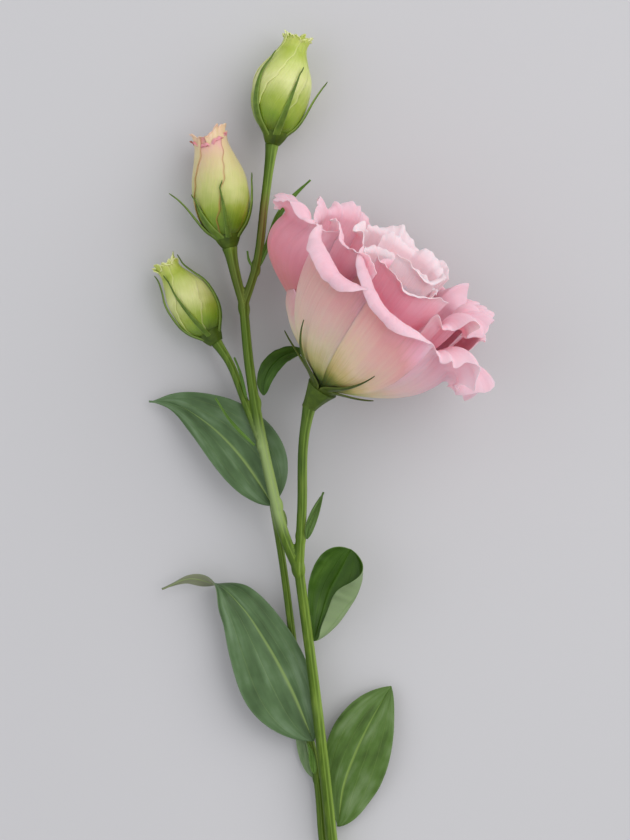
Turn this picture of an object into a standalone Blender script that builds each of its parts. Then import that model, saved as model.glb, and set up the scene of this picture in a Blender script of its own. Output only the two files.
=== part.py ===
# A cut lisianthus stem that lies on a surface: one open double bloom, three buds, leaves and bracts.
# The surface is the plane z = 0, the stem grows towards +Y, and the side that the photo shows faces up.
# Every leaf, bract, calyx and corolla is its own solid, seated a small gap from what carries it.

import math

import bmesh
import bpy
import numpy as np
from mathutils import Matrix

# The plant is drawn about the middle of the photo, and this moves its own middle to the origin.
plant_shift = np.array((-0.0010, 0.0289, 0.0))

# Sizes that drive the shapes, in metres.
leaf_thickness = 0.0007
petal_thickness = 0.0007
sepal_thickness = 0.0007
least_half_width = 0.0003
stem_ring_spacing = 0.010
stem_bevel_steps = 2
cut_slope = 0.5
cut_from_start = 0.0025
swelling_stretch = 1.5
bloom_sepal_clearance = 0.0013
bloom_sepal_half_width = 0.0018
bud_sepal_clearance = 0.0009
bud_sepal_half_width = 0.0015
axil_bud_radius = 0.0008
axil_bud_stretch = 2.4

# Centre lines of the stems, each from where it starts to where it ends.
main_route = (
    (0.0101, -0.1730, 0.00167),
    (0.0050, -0.1237, 0.0058),
    (-0.0004, -0.0762, 0.0112),
    (-0.0047, -0.0437, 0.0150),
)
peduncle_route = (
    (-0.0047, -0.0437, 0.0150),
    (-0.0038, -0.0262, 0.0170),
    (-0.0030, -0.0035, 0.0194),
    (-0.0018, 0.0037, 0.0205),
)
branch_route = (
    (-0.0047, -0.0437, 0.0150),
    (-0.0085, -0.0350, 0.0150),
    (-0.0130, -0.0175, 0.0145),
    (-0.0194, 0.0175, 0.0127),
    (-0.0209, 0.0334, 0.0117),
)
top_stalk_route = (
    (-0.0209, 0.0334, 0.0117),
    (-0.0174, 0.0445, 0.0112),
    (-0.0147, 0.0645, 0.0102),
    (-0.0128, 0.0798, 0.0095),
)
pink_stalk_route = ((-0.0209, 0.0334, 0.0117), (-0.0236, 0.0439, 0.0112), (-0.0247, 0.0493, 0.0105))
left_stalk_route = (
    (-0.0154, -0.0076, 0.0140),
    (-0.0207, 0.0059, 0.0116),
    (-0.0255, 0.0176, 0.0096),
    (-0.0283, 0.0218, 0.0088),
)
rear_route = (
    (0.0074, -0.1492, 0.0036),
    (0.0023, -0.1243, 0.0029),
    (0.0011, -0.1094, 0.0034),
    (-0.0044, -0.0796, 0.0052),
    (-0.0101, -0.0382, 0.0080),
    (-0.0129, -0.0217, 0.0092),
)

# Each stem: its route, its radius at the start and at the end, and how much its end widens under a flower.
stems = (
    (main_route, 0.0018, 0.0015, 0.0),
    (peduncle_route, 0.0015, 0.0013, 0.0005),
    (branch_route, 0.0017, 0.0014, 0.0),
    (top_stalk_route, 0.0013, 0.0013, 0.0008),
    (pink_stalk_route, 0.0013, 0.0018, 0.0006),
    (left_stalk_route, 0.0012, 0.0012, 0.0006),
    (rear_route, 0.0013, 0.0011, 0.0),
)

# Swollen nodes of the stem: centre and radius.
swellings = (
    ((-0.0049, -0.0432, 0.0150), 0.0021),
    ((-0.0208, 0.0327, 0.0117), 0.0018),
    ((-0.0174, 0.0445, 0.0112), 0.0015),
    ((-0.0173, 0.0050, 0.0134), 0.0017),
    ((-0.0154, -0.0074, 0.0140), 0.0018),
    ((-0.0110, -0.0250, 0.0148), 0.0018),
    ((-0.0042, -0.0343, 0.0161), 0.0016),
    ((0.0006, -0.1060, 0.0036), 0.0014),
    ((0.0074, -0.1492, 0.0037), 0.0021),
)

swelling_axis = (-0.15, 1.0, 0.0)

# Where the bloom and the buds sit, with the direction in which each one faces.
bloom_seat = np.array((0.0003, 0.0066, 0.0216))
bloom_axis = np.array((0.545, 0.779, 0.309))
bud_seats = {
    "top_bud": (np.array((-0.0122, 0.0824, 0.0100)), np.array((0.237, 0.971, 0.0))),
    "pink_bud": (np.array((-0.0252, 0.0520, 0.0111)), np.array((-0.186, 0.982, -0.02))),
    "left_bud": (np.array((-0.0298, 0.0241, 0.0086)), np.array((-0.546, 0.837, -0.03))),
}


def unit(vectors):
    return vectors / np.linalg.norm(vectors, axis=-1, keepdims=True)


def smooth_route(points, shares):
    """Places along a smooth curve through the points, by share of its length."""
    points = np.array(points)
    steps = np.linalg.norm(np.diff(points, axis=0), axis=1)
    knots = np.concatenate([[0], np.cumsum(steps)])
    slopes = np.gradient(points, knots, axis=0)
    where = np.clip(shares, 0, 1) * knots[-1]
    piece = np.clip(np.searchsorted(knots, where, side="right") - 1, 0, len(steps) - 1)
    span = steps[piece][:, None]
    part = ((where - knots[piece]) / steps[piece])[:, None]
    start = (1 + 2 * part) * (1 - part) ** 2 * points[piece] + part * (1 - part) ** 2 * span * slopes[piece]
    end = part**2 * (3 - 2 * part) * points[piece + 1] + part**2 * (part - 1) * span * slopes[piece + 1]
    return start + end


def route_length(points):
    return float(np.linalg.norm(np.diff(np.array(points), axis=0), axis=1).sum())


def facing(axis):
    """Two directions square to the axis: the one nearest to straight up, and the one to its right."""
    axis = unit(axis)
    up = np.array((0.0, 0.0, 1.0))
    towards = unit(up - axis * axis[2])
    return axis, towards, np.cross(axis, towards)


def soft_step(value):
    value = np.clip(value, 0, 1)
    return value * value * (3 - 2 * value)


# Meshes

def link(obj, collection_name):
    if collection_name not in bpy.data.collections:
        bpy.context.scene.collection.children.link(bpy.data.collections.new(collection_name))
    bpy.data.collections[collection_name].objects.link(obj)
    return obj


def evaluated_mesh(obj):
    bpy.context.view_layer.update()
    graph = bpy.context.evaluated_depsgraph_get()
    return bpy.data.meshes.new_from_object(obj.evaluated_get(graph))


def object_from(mesh, name):
    mesh.name = name
    return link(bpy.data.objects.new(name, mesh), "lisianthus")


def turn_outwards(work):
    bmesh.ops.recalc_face_normals(work, faces=work.faces)
    if work.calc_volume(signed=True) < 0:
        bmesh.ops.reverse_faces(work, faces=work.faces)


def finished(obj):
    """The object with its modifiers applied, its seams welded and its faces turned outwards."""
    mesh = evaluated_mesh(obj)
    name = obj.name
    bpy.data.objects.remove(obj)
    work = bmesh.new()
    work.from_mesh(mesh)
    bmesh.ops.remove_doubles(work, verts=work.verts, dist=1e-6)
    turn_outwards(work)
    work.to_mesh(mesh)
    work.free()
    return object_from(mesh, name)


def tube(name, route, start_radius, end_radius, widening):
    """A round stem along a smooth route."""
    rings = max(4, int(route_length(route) / stem_ring_spacing) + 2)
    shares = np.linspace(0, 1, rings)
    places = smooth_route(route, shares)
    curve = bpy.data.curves.new(name, "CURVE")
    curve.dimensions = "3D"
    curve.bevel_depth = 1.0
    curve.bevel_resolution = stem_bevel_steps
    curve.use_fill_caps = True
    spline = curve.splines.new("POLY")
    spline.points.add(rings - 1)
    for point, place, share in zip(spline.points, places, shares):
        point.co = (*place, 1.0)
        point.radius = start_radius + (end_radius - start_radius) * share + widening * share**10
    return finished(link(bpy.data.objects.new(name, curve), "lisianthus"))


def ball(name, centre, radius, axis, stretch, sides, rings):
    """A ball, drawn out along an axis."""
    axis, towards, right = facing(np.array(axis, dtype=float) + 1e-6)
    mesh = bpy.data.meshes.new(name)
    work = bmesh.new()
    bmesh.ops.create_uvsphere(work, u_segments=sides, v_segments=rings, radius=radius)
    for vertex in work.verts:
        x, y, z = vertex.co
        vertex.co = np.array(centre) + x * towards + y * right + z * stretch * axis
    bmesh.ops.triangulate(work, faces=work.faces)
    turn_outwards(work)
    work.to_mesh(mesh)
    work.free()
    return object_from(mesh, name)


def blade(name, surface, across, along, thickness, crowding=1.0):
    """A thin blade: a grid laid on a surface of two shares, split into triangles and made thick.
    The grid's rows lie closer together towards the blade's end where the crowding is above 1."""
    mesh = bpy.data.meshes.new(name)
    work = bmesh.new()
    bmesh.ops.create_grid(work, x_segments=across, y_segments=along, size=1.0)
    flat = np.array([vertex.co[:2] for vertex in work.verts])
    flat /= np.abs(flat).max(axis=0)
    places = surface(flat[:, 0], 1 - ((1 - flat[:, 1]) / 2) ** crowding)
    for vertex, place in zip(work.verts, places):
        vertex.co = place
    bmesh.ops.triangulate(work, faces=work.faces)
    work.to_mesh(mesh)
    work.free()
    obj = object_from(mesh, name)
    solid = obj.modifiers.new("thickness", "SOLIDIFY")
    solid.thickness = thickness
    solid.offset = 0.0
    return finished(obj)


def fused(name, pieces, solver="MANIFOLD"):
    """The pieces joined into one body."""
    first, *others = pieces
    tools = bpy.data.collections.new(name + "_pieces")
    for other in others:
        tools.objects.link(other)
    join = first.modifiers.new("join", "BOOLEAN")
    join.operation = "UNION"
    join.solver = solver
    join.operand_type = "COLLECTION"
    join.collection = tools
    mesh = evaluated_mesh(first)
    for piece in pieces:
        bpy.data.objects.remove(piece)
    bpy.data.collections.remove(tools)
    keep_outer_shell(mesh)
    return object_from(mesh, name)


def keep_outer_shell(mesh):
    """Removes the small closed pockets that the union leaves between blades where they grow together."""
    work = bmesh.new()
    work.from_mesh(mesh)
    unseen = set(work.verts)
    shells = []
    while unseen:
        shell = {unseen.pop()}
        edge_of_shell = set(shell)
        while edge_of_shell:
            near = {edge.other_vert(vertex) for vertex in edge_of_shell for edge in vertex.link_edges}
            edge_of_shell = near - shell
            shell |= edge_of_shell
        unseen -= shell
        shells.append(shell)
    outer = max(shells, key=len)
    spare = [vertex for shell in shells if shell is not outer for vertex in shell]
    bmesh.ops.delete(work, geom=spare, context="VERTS")
    work.to_mesh(mesh)
    work.free()


def paint(obj, name, colour, roughness, smooth=True):
    material = bpy.data.materials.get(name) or bpy.data.materials.new(name)
    material.use_nodes = True
    shader = material.node_tree.nodes["Principled BSDF"]
    shader.inputs["Base Color"].default_value = (*colour, 1.0)
    shader.inputs["Roughness"].default_value = roughness
    shader.inputs["Metallic"].default_value = 0.0
    obj.data.materials.clear()
    obj.data.materials.append(material)
    for face in obj.data.polygons:
        face.use_smooth = smooth


def stem_green(obj):
    paint(obj, "stem_green", (0.11, 0.22, 0.03), 0.45)


def leaf_green(obj):
    paint(obj, "leaf_green", (0.10, 0.17, 0.07), 0.5)


def calyx_green(obj):
    paint(obj, "calyx_green", (0.07, 0.14, 0.03), 0.5)


def bud_green(obj):
    paint(obj, "bud_green", (0.45, 0.55, 0.16), 0.5)


def bud_cream(obj):
    paint(obj, "bud_cream", (0.68, 0.55, 0.38), 0.5)


def petal_pink(obj):
    paint(obj, "petal_pink", (0.80, 0.40, 0.47), 0.55)


# Stem

def build_stem():
    pieces = [tube(f"stem_{i}", *stem) for i, stem in enumerate(stems)]
    for i, (centre, radius) in enumerate(swellings):
        pieces.append(ball(f"swelling_{i}", centre, radius, swelling_axis, swelling_stretch, 8, 5))
    stem = fused("stem", pieces, "EXACT")
    cut_start = np.array(main_route[0]) + np.array((0.0, cut_from_start, 0.0))
    work = bmesh.new()
    work.from_mesh(stem.data)
    whole = list(work.verts) + list(work.edges) + list(work.faces)
    slope = (0.0, -1.0, cut_slope)
    knife = {"dist": 1e-7, "plane_co": cut_start, "plane_no": slope, "clear_outer": True}
    cut = bmesh.ops.bisect_plane(work, geom=whole, **knife)
    rim = [item for item in cut["geom_cut"] if isinstance(item, bmesh.types.BMEdge)]
    bmesh.ops.contextual_create(work, geom=rim)
    bmesh.ops.triangulate(work, faces=work.faces)
    work.to_mesh(stem.data)
    work.free()
    stem_green(stem)


# Leaves and bracts

# An edge that turns over bends over a part of the half width, most in the middle of the leaf's length.
bend_samples = 24
edge_turn_from = 0.62
edge_turn_span = 0.3
edge_turn_fullness = 0.7


def swell(along, base_full, tip_full):
    """Rises from the base and falls to the tip as powers of the two distances, 1 at the widest place."""
    widest = base_full / (base_full + tip_full)
    shape = np.clip(along, 0.001, 1) ** base_full * np.clip(1 - along, 0, 1) ** tip_full
    return shape / (widest**base_full * (1 - widest) ** tip_full)


def leaf_surface(leaf):
    """Places on a leaf: a midrib route, a half width for each side, and how its edges rise and turn."""

    def places(across, along):
        route = leaf["route"]
        centre = smooth_route(route, along)
        ahead = unit(smooth_route(route, along + 0.01) - smooth_route(route, along - 0.01))
        up = np.array((0.0, 0.0, 1.0))
        side = unit(np.cross(up, ahead))
        lift = np.cross(ahead, side)
        start, middle, end = leaf.get("roll", (0, 0, 0))
        turn_from, turn_to = leaf.get("roll_between", (0.3, 0.7))
        roll = start + (middle - start) * soft_step(along / turn_from)
        roll = roll + (end - middle) * soft_step((along - turn_from) / (turn_to - turn_from))
        roll = np.radians(roll)[:, None]
        left = side * np.cos(roll) + lift * np.sin(roll)
        face = lift * np.cos(roll) - side * np.sin(roll)
        left_shape = swell(along, *leaf["outline"])
        right_shape = swell(along, *leaf.get("right_outline", leaf["outline"]))
        shape = np.where(across > 0, left_shape, right_shape)
        left_width, right_width = leaf["half_widths"]
        half = np.maximum(least_half_width, np.where(across > 0, left_width, right_width) * shape)
        left_turn, right_turn = leaf.get("edge_turn", (0, 0))
        skewed = np.clip(along, 0, 1) ** leaf.get("turn_lean", 1)
        turn = np.where(across > 0, left_turn, right_turn) * np.sin(math.pi * skewed) ** edge_turn_fullness
        samples = (np.arange(bend_samples) + 0.5) / bend_samples
        out = np.abs(across)[:, None] * samples
        turned = turn[:, None] * soft_step((out - leaf.get("turn_from", edge_turn_from)) / edge_turn_span)
        bend = np.radians(leaf.get("fold", 0) + leaf.get("cup", 0) * out + turned)
        reach = np.abs(across) * np.cos(bend).mean(axis=1) * half
        rise = np.abs(across) * np.sin(bend).mean(axis=1) * half
        waves, depth = leaf.get("waves", (0, 0))
        rise = rise + depth * across**2 * np.sin(2 * math.pi * waves * along + across) * shape
        return centre + np.sign(across)[:, None] * reach[:, None] * left + rise[:, None] * face

    return places


leaves = {
    "leaf_middle_left": {
        "route": (
            (-0.0125, -0.0250, 0.0118),
            (-0.0163, -0.0187, 0.0111),
            (-0.0227, -0.0098, 0.0106),
            (-0.0323, -0.0006, 0.0092),
            (-0.0420, 0.0048, 0.0052),
            (-0.0491, 0.0055, 0.0026),
        ),
        "half_widths": (0.0078, 0.0128),
        "outline": (0.7, 1.35),
        "fold": 8,
        "cup": -14,
        "waves": (1.5, 0.0006),
    },
    "leaf_lower_left": {
        "route": (
            (-0.0004, -0.0945, 0.0068),
            (-0.0068, -0.0792, 0.0076),
            (-0.0147, -0.0648, 0.0082),
            (-0.0218, -0.0547, 0.0074),
            (-0.0287, -0.0487, 0.0060),
            (-0.0368, -0.0467, 0.0052),
            (-0.0452, -0.0500, 0.0030),
        ),
        "half_widths": (0.0140, 0.0078),
        "outline": (0.78, 1.95),
        "right_outline": (0.80, 1.25),
        "roll": (0, 4, 150),
        "roll_between": (0.62, 0.88),
        "fold": 5,
        "cup": -6,
        "waves": (1.2, 0.0005),
    },
    "leaf_round": {
        "route": (
            (0.0010, -0.0640, 0.0127),
            (0.0023, -0.0580, 0.0116),
            (0.0044, -0.0500, 0.0112),
            (0.0078, -0.0434, 0.0122),
            (0.0105, -0.0378, 0.0136),
        ),
        "half_widths": (0.0080, 0.0150),
        "outline": (1.10, 0.40),
        "right_outline": (0.80, 0.62),
        "fold": 10,
        "cup": 18,
        "edge_turn": (14, 172),
        "turn_from": 0.42,
        "turn_lean": 0.62,
    },
    "leaf_lower_right": {
        "route": (
            (0.0070, -0.1201, 0.0038),
            (0.0085, -0.1083, 0.0036),
            (0.0121, -0.0980, 0.0048),
            (0.0167, -0.0883, 0.0050),
            (0.0225, -0.0787, 0.0030),
        ),
        "half_widths": (0.0092, 0.0106),
        "outline": (1.15, 0.85),
        "right_outline": (0.62, 0.85),
        "fold": 3,
        "cup": -6,
        "waves": (1.2, 0.0004),
    },
    "leaf_behind": {
        "route": (
            (-0.0010, -0.1060, 0.0014),
            (-0.0024, -0.1000, 0.0018),
            (-0.0038, -0.0930, 0.0020),
            (-0.0052, -0.0852, 0.0018),
        ),
        "half_widths": (0.0028, 0.0028),
        "outline": (0.6, 0.9),
    },
    "leaf_slender": {
        "route": (
            (-0.0001, -0.1043, 0.0058),
            (-0.0007, -0.1005, 0.0064),
            (-0.0012, -0.0980, 0.0066),
            (-0.0022, -0.0953, 0.0064),
        ),
        "half_widths": (0.0011, 0.0011),
        "outline": (0.5, 0.9),
        "fold": 20,
    },
    "leaf_small": {
        "route": (
            (-0.0020, -0.0342, 0.0171),
            (-0.0011, -0.0303, 0.0176),
            (0.0002, -0.0267, 0.0178),
            (0.0025, -0.0210, 0.0167),
        ),
        "half_widths": (0.0015, 0.0015),
        "outline": (0.6, 1.0),
        "fold": 22,
    },
    "leaf_branch": {
        "route": (
            (-0.0150, 0.0072, 0.0142),
            (-0.0148, 0.0110, 0.0144),
            (-0.0128, 0.0155, 0.0136),
            (-0.0090, 0.0188, 0.0118),
            (-0.0035, 0.0206, 0.0092),
        ),
        "half_widths": (0.0030, 0.0030),
        "outline": (0.6, 0.6),
        "fold": 14,
        "roll": (0, -12, -30),
    },
    "leaf_narrow": {
        "route": (
            (-0.0144, 0.0478, 0.0116),
            (-0.0132, 0.0539, 0.0110),
            (-0.0100, 0.0613, 0.0100),
            (-0.0053, 0.0667, 0.0100),
            (-0.0013, 0.0704, 0.0106),
        ),
        "half_widths": (0.0010, 0.0010),
        "outline": (0.4, 0.7),
        "fold": 20,
    },
    "bract_upper": {
        "route": ((-0.0195, 0.0454, 0.0120), (-0.0198, 0.0475, 0.0122), (-0.0197, 0.0500, 0.0122)),
        "half_widths": (0.0004, 0.0004),
        "outline": (0.4, 0.8),
    },
    "bract_branch": {
        "route": (
            (-0.0200, 0.0064, 0.0140),
            (-0.0208, 0.0095, 0.0143),
            (-0.0219, 0.0140, 0.0142),
            (-0.0236, 0.0183, 0.0138),
        ),
        "half_widths": (0.0005, 0.0005),
        "outline": (0.4, 0.8),
    },
    "bract_left": {
        "route": (
            (-0.0176, -0.0074, 0.0152),
            (-0.0216, -0.0036, 0.0152),
            (-0.0250, 0.0002, 0.0146),
            (-0.0291, 0.0064, 0.0132),
        ),
        "half_widths": (0.0005, 0.0005),
        "outline": (0.4, 0.8),
        "fold": 15,
    },
}


axil_bud_place = (-0.0076, -0.0287, 0.0143)
axil_bud_axis = (0.25, -0.97, 0.05)


def build_axil_bud():
    stem_green(ball("axil_bud", axil_bud_place, axil_bud_radius, axil_bud_axis, axil_bud_stretch, 8, 6))


def build_leaf(name, leaf):
    wide = max(leaf["half_widths"])
    across = 10 if "turn_from" in leaf else 8 if wide > 0.006 else 4 if wide > 0.0015 else 2
    along = 15 if wide > 0.006 else 8
    leaf_green(blade(name, leaf_surface(leaf), across, along, leaf_thickness))


# Petals of the bloom

lip_start = 0.84


def cup_profile(belly, rim_radius, rim_height, body):
    """Radius, height and heading along the curve from the bloom's foot to the rim, by share of length."""
    foot_radius, foot_height, low_out, low_up, high_out, high_up = belly
    radii = (foot_radius, low_out * rim_radius, high_out * rim_radius, rim_radius)
    heights = (foot_height, low_up * rim_height, high_up * rim_height, rim_height)
    shares = ((1 - body) ** 3, 3 * body * (1 - body) ** 2, 3 * body**2 * (1 - body), body**3)
    slopes = ((1 - body) ** 2, 2 * body * (1 - body), body**2)
    radius = sum(share * value for share, value in zip(shares, radii))
    height = sum(share * value for share, value in zip(shares, heights))
    outward = sum(slope * (radii[i + 1] - radii[i]) for i, slope in enumerate(slopes))
    upward = sum(slope * (heights[i + 1] - heights[i]) for i, slope in enumerate(slopes))
    return radius, height, np.arctan2(upward, outward)


def around(seat, axis, radius, height, angle):
    """Places at a radius, a height and an angle in degrees round an axis, from its upper side."""
    axis, towards, right = facing(axis)
    angle = np.radians(angle)[:, None]
    outward = np.cos(angle) * towards + np.sin(angle) * right
    return seat + height[:, None] * axis + radius[:, None] * outward


def petal_surface(petal):
    """Places on a petal: a curve from the foot to the rim, then a lip that rolls outwards."""

    def places(across, along):
        reach = along * (1 - petal["corner"] * np.abs(across) ** 3)
        body = np.minimum(reach / lip_start, 1)
        lip = np.maximum(reach - lip_start, 0) / (1 - lip_start)
        rim_radius = petal["radius"] + petal["swirl"] * across + petal["hollow"] * across**2
        rim_height = petal["height"] + petal["lean"] * across + petal["rise"] * across**2
        radius, height, heading = cup_profile(petal["belly"], rim_radius, rim_height, body)
        wave = np.sin(petal["waves"] * across + petal["phase"])
        roll = np.radians(petal["roll"] * (1 + petal["roll_wave"] * wave))
        turned = heading - roll * lip
        radius = radius + petal["lip"] * (np.sin(heading) - np.sin(turned)) / roll
        height = height + petal["lip"] * (np.cos(turned) - np.cos(heading)) / roll
        ruffle = petal["ruffle"] * reach**4 * wave
        radius = radius + ruffle * np.sin(turned)
        height = height - ruffle * np.cos(turned)
        widening = petal["foot_share"] + (1 - petal["foot_share"]) * reach
        angle = petal["azimuth"] + petal["spread"] * across * widening
        return around(bloom_seat, bloom_axis, radius, height, angle)

    return places


outer_belly = (0.0030, 0.0036, 0.14, 0.23, 1.00, 0.30)
low_belly = (0.0030, 0.0036, 0.13, 0.25, 0.92, 0.42)
bulged_belly = (0.0030, 0.0036, 0.21, 0.58, 1.20, 0.49)
short_belly = (0.0030, 0.0036, 0.16, 0.36, 1.00, 0.52)
middle_belly = (0.0024, 0.0062, 0.17, 0.30, 0.90, 0.42)
inner_belly = (0.0014, 0.0080, 0.20, 0.38, 0.90, 0.55)
petal_crowding = 1.7

plain_petal = {
    "azimuth": 0,
    "spread": 40,
    "foot_share": 0.72,
    "radius": 0.033,
    "height": 0.045,
    "belly": outer_belly,
    "swirl": 0.0,
    "hollow": 0.0,
    "lean": 0.0,
    "rise": 0.0,
    "corner": 0.12,
    "lip": 0.006,
    "roll": 120,
    "roll_wave": 0.25,
    "ruffle": 0.0010,
    "waves": 6.0,
    "phase": 0.0,
    "grid": (8, 8),
}

# The petals one by one, from the outside in; the first six make the outer whorl.
bloom_petals = (
    {
        "azimuth": -30, "spread": 26, "radius": 0.0312, "height": 0.0408, "swirl": -0.0022,
        "hollow": -0.0028, "lean": -0.0025, "rise": 0.0025, "roll": 200, "roll_wave": 0.12,
        "lip": 0.0100, "ruffle": 0.0004, "grid": (8, 11),
    },
    {
        "azimuth": 0, "spread": 38, "radius": 0.0280, "height": 0.0408, "swirl": 0.0050,
        "hollow": -0.0020, "lean": -0.0050, "rise": 0.0025, "roll": 190, "roll_wave": 0.12,
        "lip": 0.0085, "ruffle": 0.0004, "phase": 1.0, "grid": (10, 11),
    },
    {
        "azimuth": 80, "spread": 42, "radius": 0.0268, "height": 0.0288, "belly": low_belly,
        "swirl": 0.0005, "lean": -0.0085, "roll": 172, "roll_wave": 0.22, "lip": 0.0140,
        "ruffle": 0.0028, "waves": 8.5, "phase": 2.6, "grid": (13, 11),
    },
    {
        "azimuth": 148, "spread": 56, "radius": 0.0300, "height": 0.0400, "belly": low_belly,
        "swirl": 0.0010, "lip": 0.0060, "ruffle": 0.0016, "waves": 7.0, "phase": 0.5, "grid": (9, 7),
    },
    {
        "azimuth": 254, "spread": 56, "radius": 0.0250, "height": 0.0222, "belly": short_belly,
        "hollow": -0.0055, "corner": 0.10, "lip": 0.0008, "roll": 30, "ruffle": 0.0003, "phase": 2.9,
    },
    {
        "azimuth": 264, "spread": 40, "radius": 0.0372, "height": 0.0400, "belly": bulged_belly,
        "swirl": -0.0070, "hollow": -0.0070, "lean": 0.0070, "ruffle": 0.0014, "lip": 0.0082,
        "roll": 190, "roll_wave": 0.15, "waves": 8.0, "phase": 1.4, "grid": (11, 10),
    },
    {
        "azimuth": -48, "spread": 36, "radius": 0.0245, "height": 0.0465, "belly": middle_belly,
        "lip": 0.0040, "roll": 90, "phase": 0.4, "grid": (8, 7),
    },
    {
        "azimuth": -112, "spread": 34, "radius": 0.0260, "height": 0.0470, "belly": middle_belly,
        "lip": 0.0045, "roll": 100, "ruffle": 0.0014, "phase": 2.0, "grid": (8, 7),
    },
    {
        "azimuth": 78, "spread": 38, "radius": 0.0225, "height": 0.0435, "belly": middle_belly,
        "lip": 0.0070, "roll": 125, "ruffle": 0.0026, "waves": 9.0, "phase": 2.5, "grid": (11, 8),
    },
    {
        "azimuth": 128, "spread": 36, "radius": 0.0240, "height": 0.0415, "belly": middle_belly,
        "lip": 0.0070, "roll": 120, "ruffle": 0.0022, "waves": 8.0, "phase": 1.2, "grid": (10, 8),
    },
    {
        "azimuth": 186, "spread": 38, "radius": 0.0235, "height": 0.0430, "belly": middle_belly,
        "lip": 0.0045, "roll": 100, "ruffle": 0.0012, "phase": 3.1, "grid": (8, 7),
    },
    {
        "azimuth": 10, "spread": 46, "radius": 0.0165, "height": 0.0465, "belly": inner_belly,
        "swirl": 0.0020, "lip": 0.0035, "roll": 90, "ruffle": 0.0006, "phase": 0.8, "grid": (6, 7),
    },
    {
        "azimuth": 100, "spread": 40, "radius": 0.0150, "height": 0.0460, "belly": inner_belly,
        "lip": 0.0035, "roll": 90, "phase": 2.0, "grid": (6, 7),
    },
    {
        "azimuth": 180, "spread": 52, "radius": 0.0125, "height": 0.0455, "belly": inner_belly,
        "lip": 0.0040, "roll": 90, "ruffle": 0.0006, "phase": 0.2, "grid": (6, 7),
    },
    {
        "azimuth": -84, "spread": 36, "radius": 0.0165, "height": 0.0470, "belly": inner_belly,
        "lip": 0.0035, "roll": 90, "phase": 1.1, "grid": (6, 7),
    },
)
bloom_foot_height = 0.0070
bloom_foot_radius = 0.0050
foot_flatness = 0.66


def petals():
    return [{**plain_petal, **petal} for petal in bloom_petals]


def build_bloom_corolla():
    axis = unit(bloom_axis)
    foot = bloom_seat + bloom_foot_height * axis
    pieces = [ball("foot", foot, bloom_foot_radius, bloom_axis, foot_flatness, 16, 8)]
    for i, petal in enumerate(petals()):
        surface = petal_surface(petal)
        pieces.append(blade(f"petal_{i}", surface, *petal["grid"], petal_thickness, petal_crowding))
    petal_pink(fused("bloom_corolla", pieces))


# Sepals of the bloom: each follows the curve of the petals that it lies under.
bloom_sepals = (
    {"azimuth": -76, "drift": 0, "length": 0.50, "flare": 0.0004, "over": 0.0325, "tall": 0.0400},
    {"azimuth": -34, "drift": 4, "length": 0.78, "flare": 0.0005, "over": 0.0325, "tall": 0.0408},
    {"azimuth": 13, "drift": 8, "length": 0.77, "flare": 0.0008, "over": 0.0306, "tall": 0.0395},
    {"azimuth": 36, "drift": 4, "length": 0.57, "flare": 0.0006, "over": 0.0320, "tall": 0.0390},
    {"azimuth": 168, "drift": 0, "length": 0.50, "flare": 0.0004, "over": 0.0345, "tall": 0.0420},
)
# Each sepal starts inside its calyx foot at a radius and a height, and leaves it over its first share.
bloom_sepal_start = (0.0030, 0.0012)
bud_sepal_start = (0.0022, -0.0006)
sepal_start_share = 0.14
# Each calyx foot is a flattened ball: how far along the axis, its radius and its flatness.
bloom_calyx_foot = (0.0003, 0.0046, 0.66)
bud_calyx_foot = (-0.0006, 0.0030, 0.50)


def sepal_outline(along):
    """Half width of a sepal as a share: broad low down and drawn out to a fine point."""
    return 0.08 + 0.92 * (1 - along) ** 1.5 * (0.9 + 0.9 * along)


def from_calyx_foot(start, radius, height, along):
    """The start of a sepal, drawn in to the foot that carries it."""
    mix = soft_step(along / sepal_start_share)
    return start[0] * (1 - mix) + radius * mix, start[1] * (1 - mix) + height * mix


def bloom_sepal_surface(sepal):
    def places(across, along):
        up = along * sepal["length"]
        radius, height, heading = cup_profile(outer_belly, sepal["over"], sepal["tall"], up)
        out = bloom_sepal_clearance + sepal["flare"] * along**4
        radius = radius + out * np.sin(heading)
        height = height - out * np.cos(heading)
        radius, height = from_calyx_foot(bloom_sepal_start, radius, height, along)
        half = bloom_sepal_half_width * sepal_outline(along)
        angle = sepal["azimuth"] + sepal["drift"] * along + np.degrees(half * across / radius)
        return around(bloom_seat, bloom_axis, radius, height, angle)

    return places


def build_bloom_calyx():
    offset, radius, flatness = bloom_calyx_foot
    foot = bloom_seat + offset * unit(bloom_axis)
    pieces = [ball("foot", foot, radius, bloom_axis, flatness, 14, 6)]
    for i, sepal in enumerate(bloom_sepals):
        pieces.append(blade(f"sepal_{i}", bloom_sepal_surface(sepal), 2, 9, sepal_thickness))
    calyx_green(fused("bloom_calyx", pieces))


# Buds

bud_petals = 5
petal_step = 0.07
bud_rings = 13
bud_points_per_petal = 5
profile_samples = 60

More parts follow.
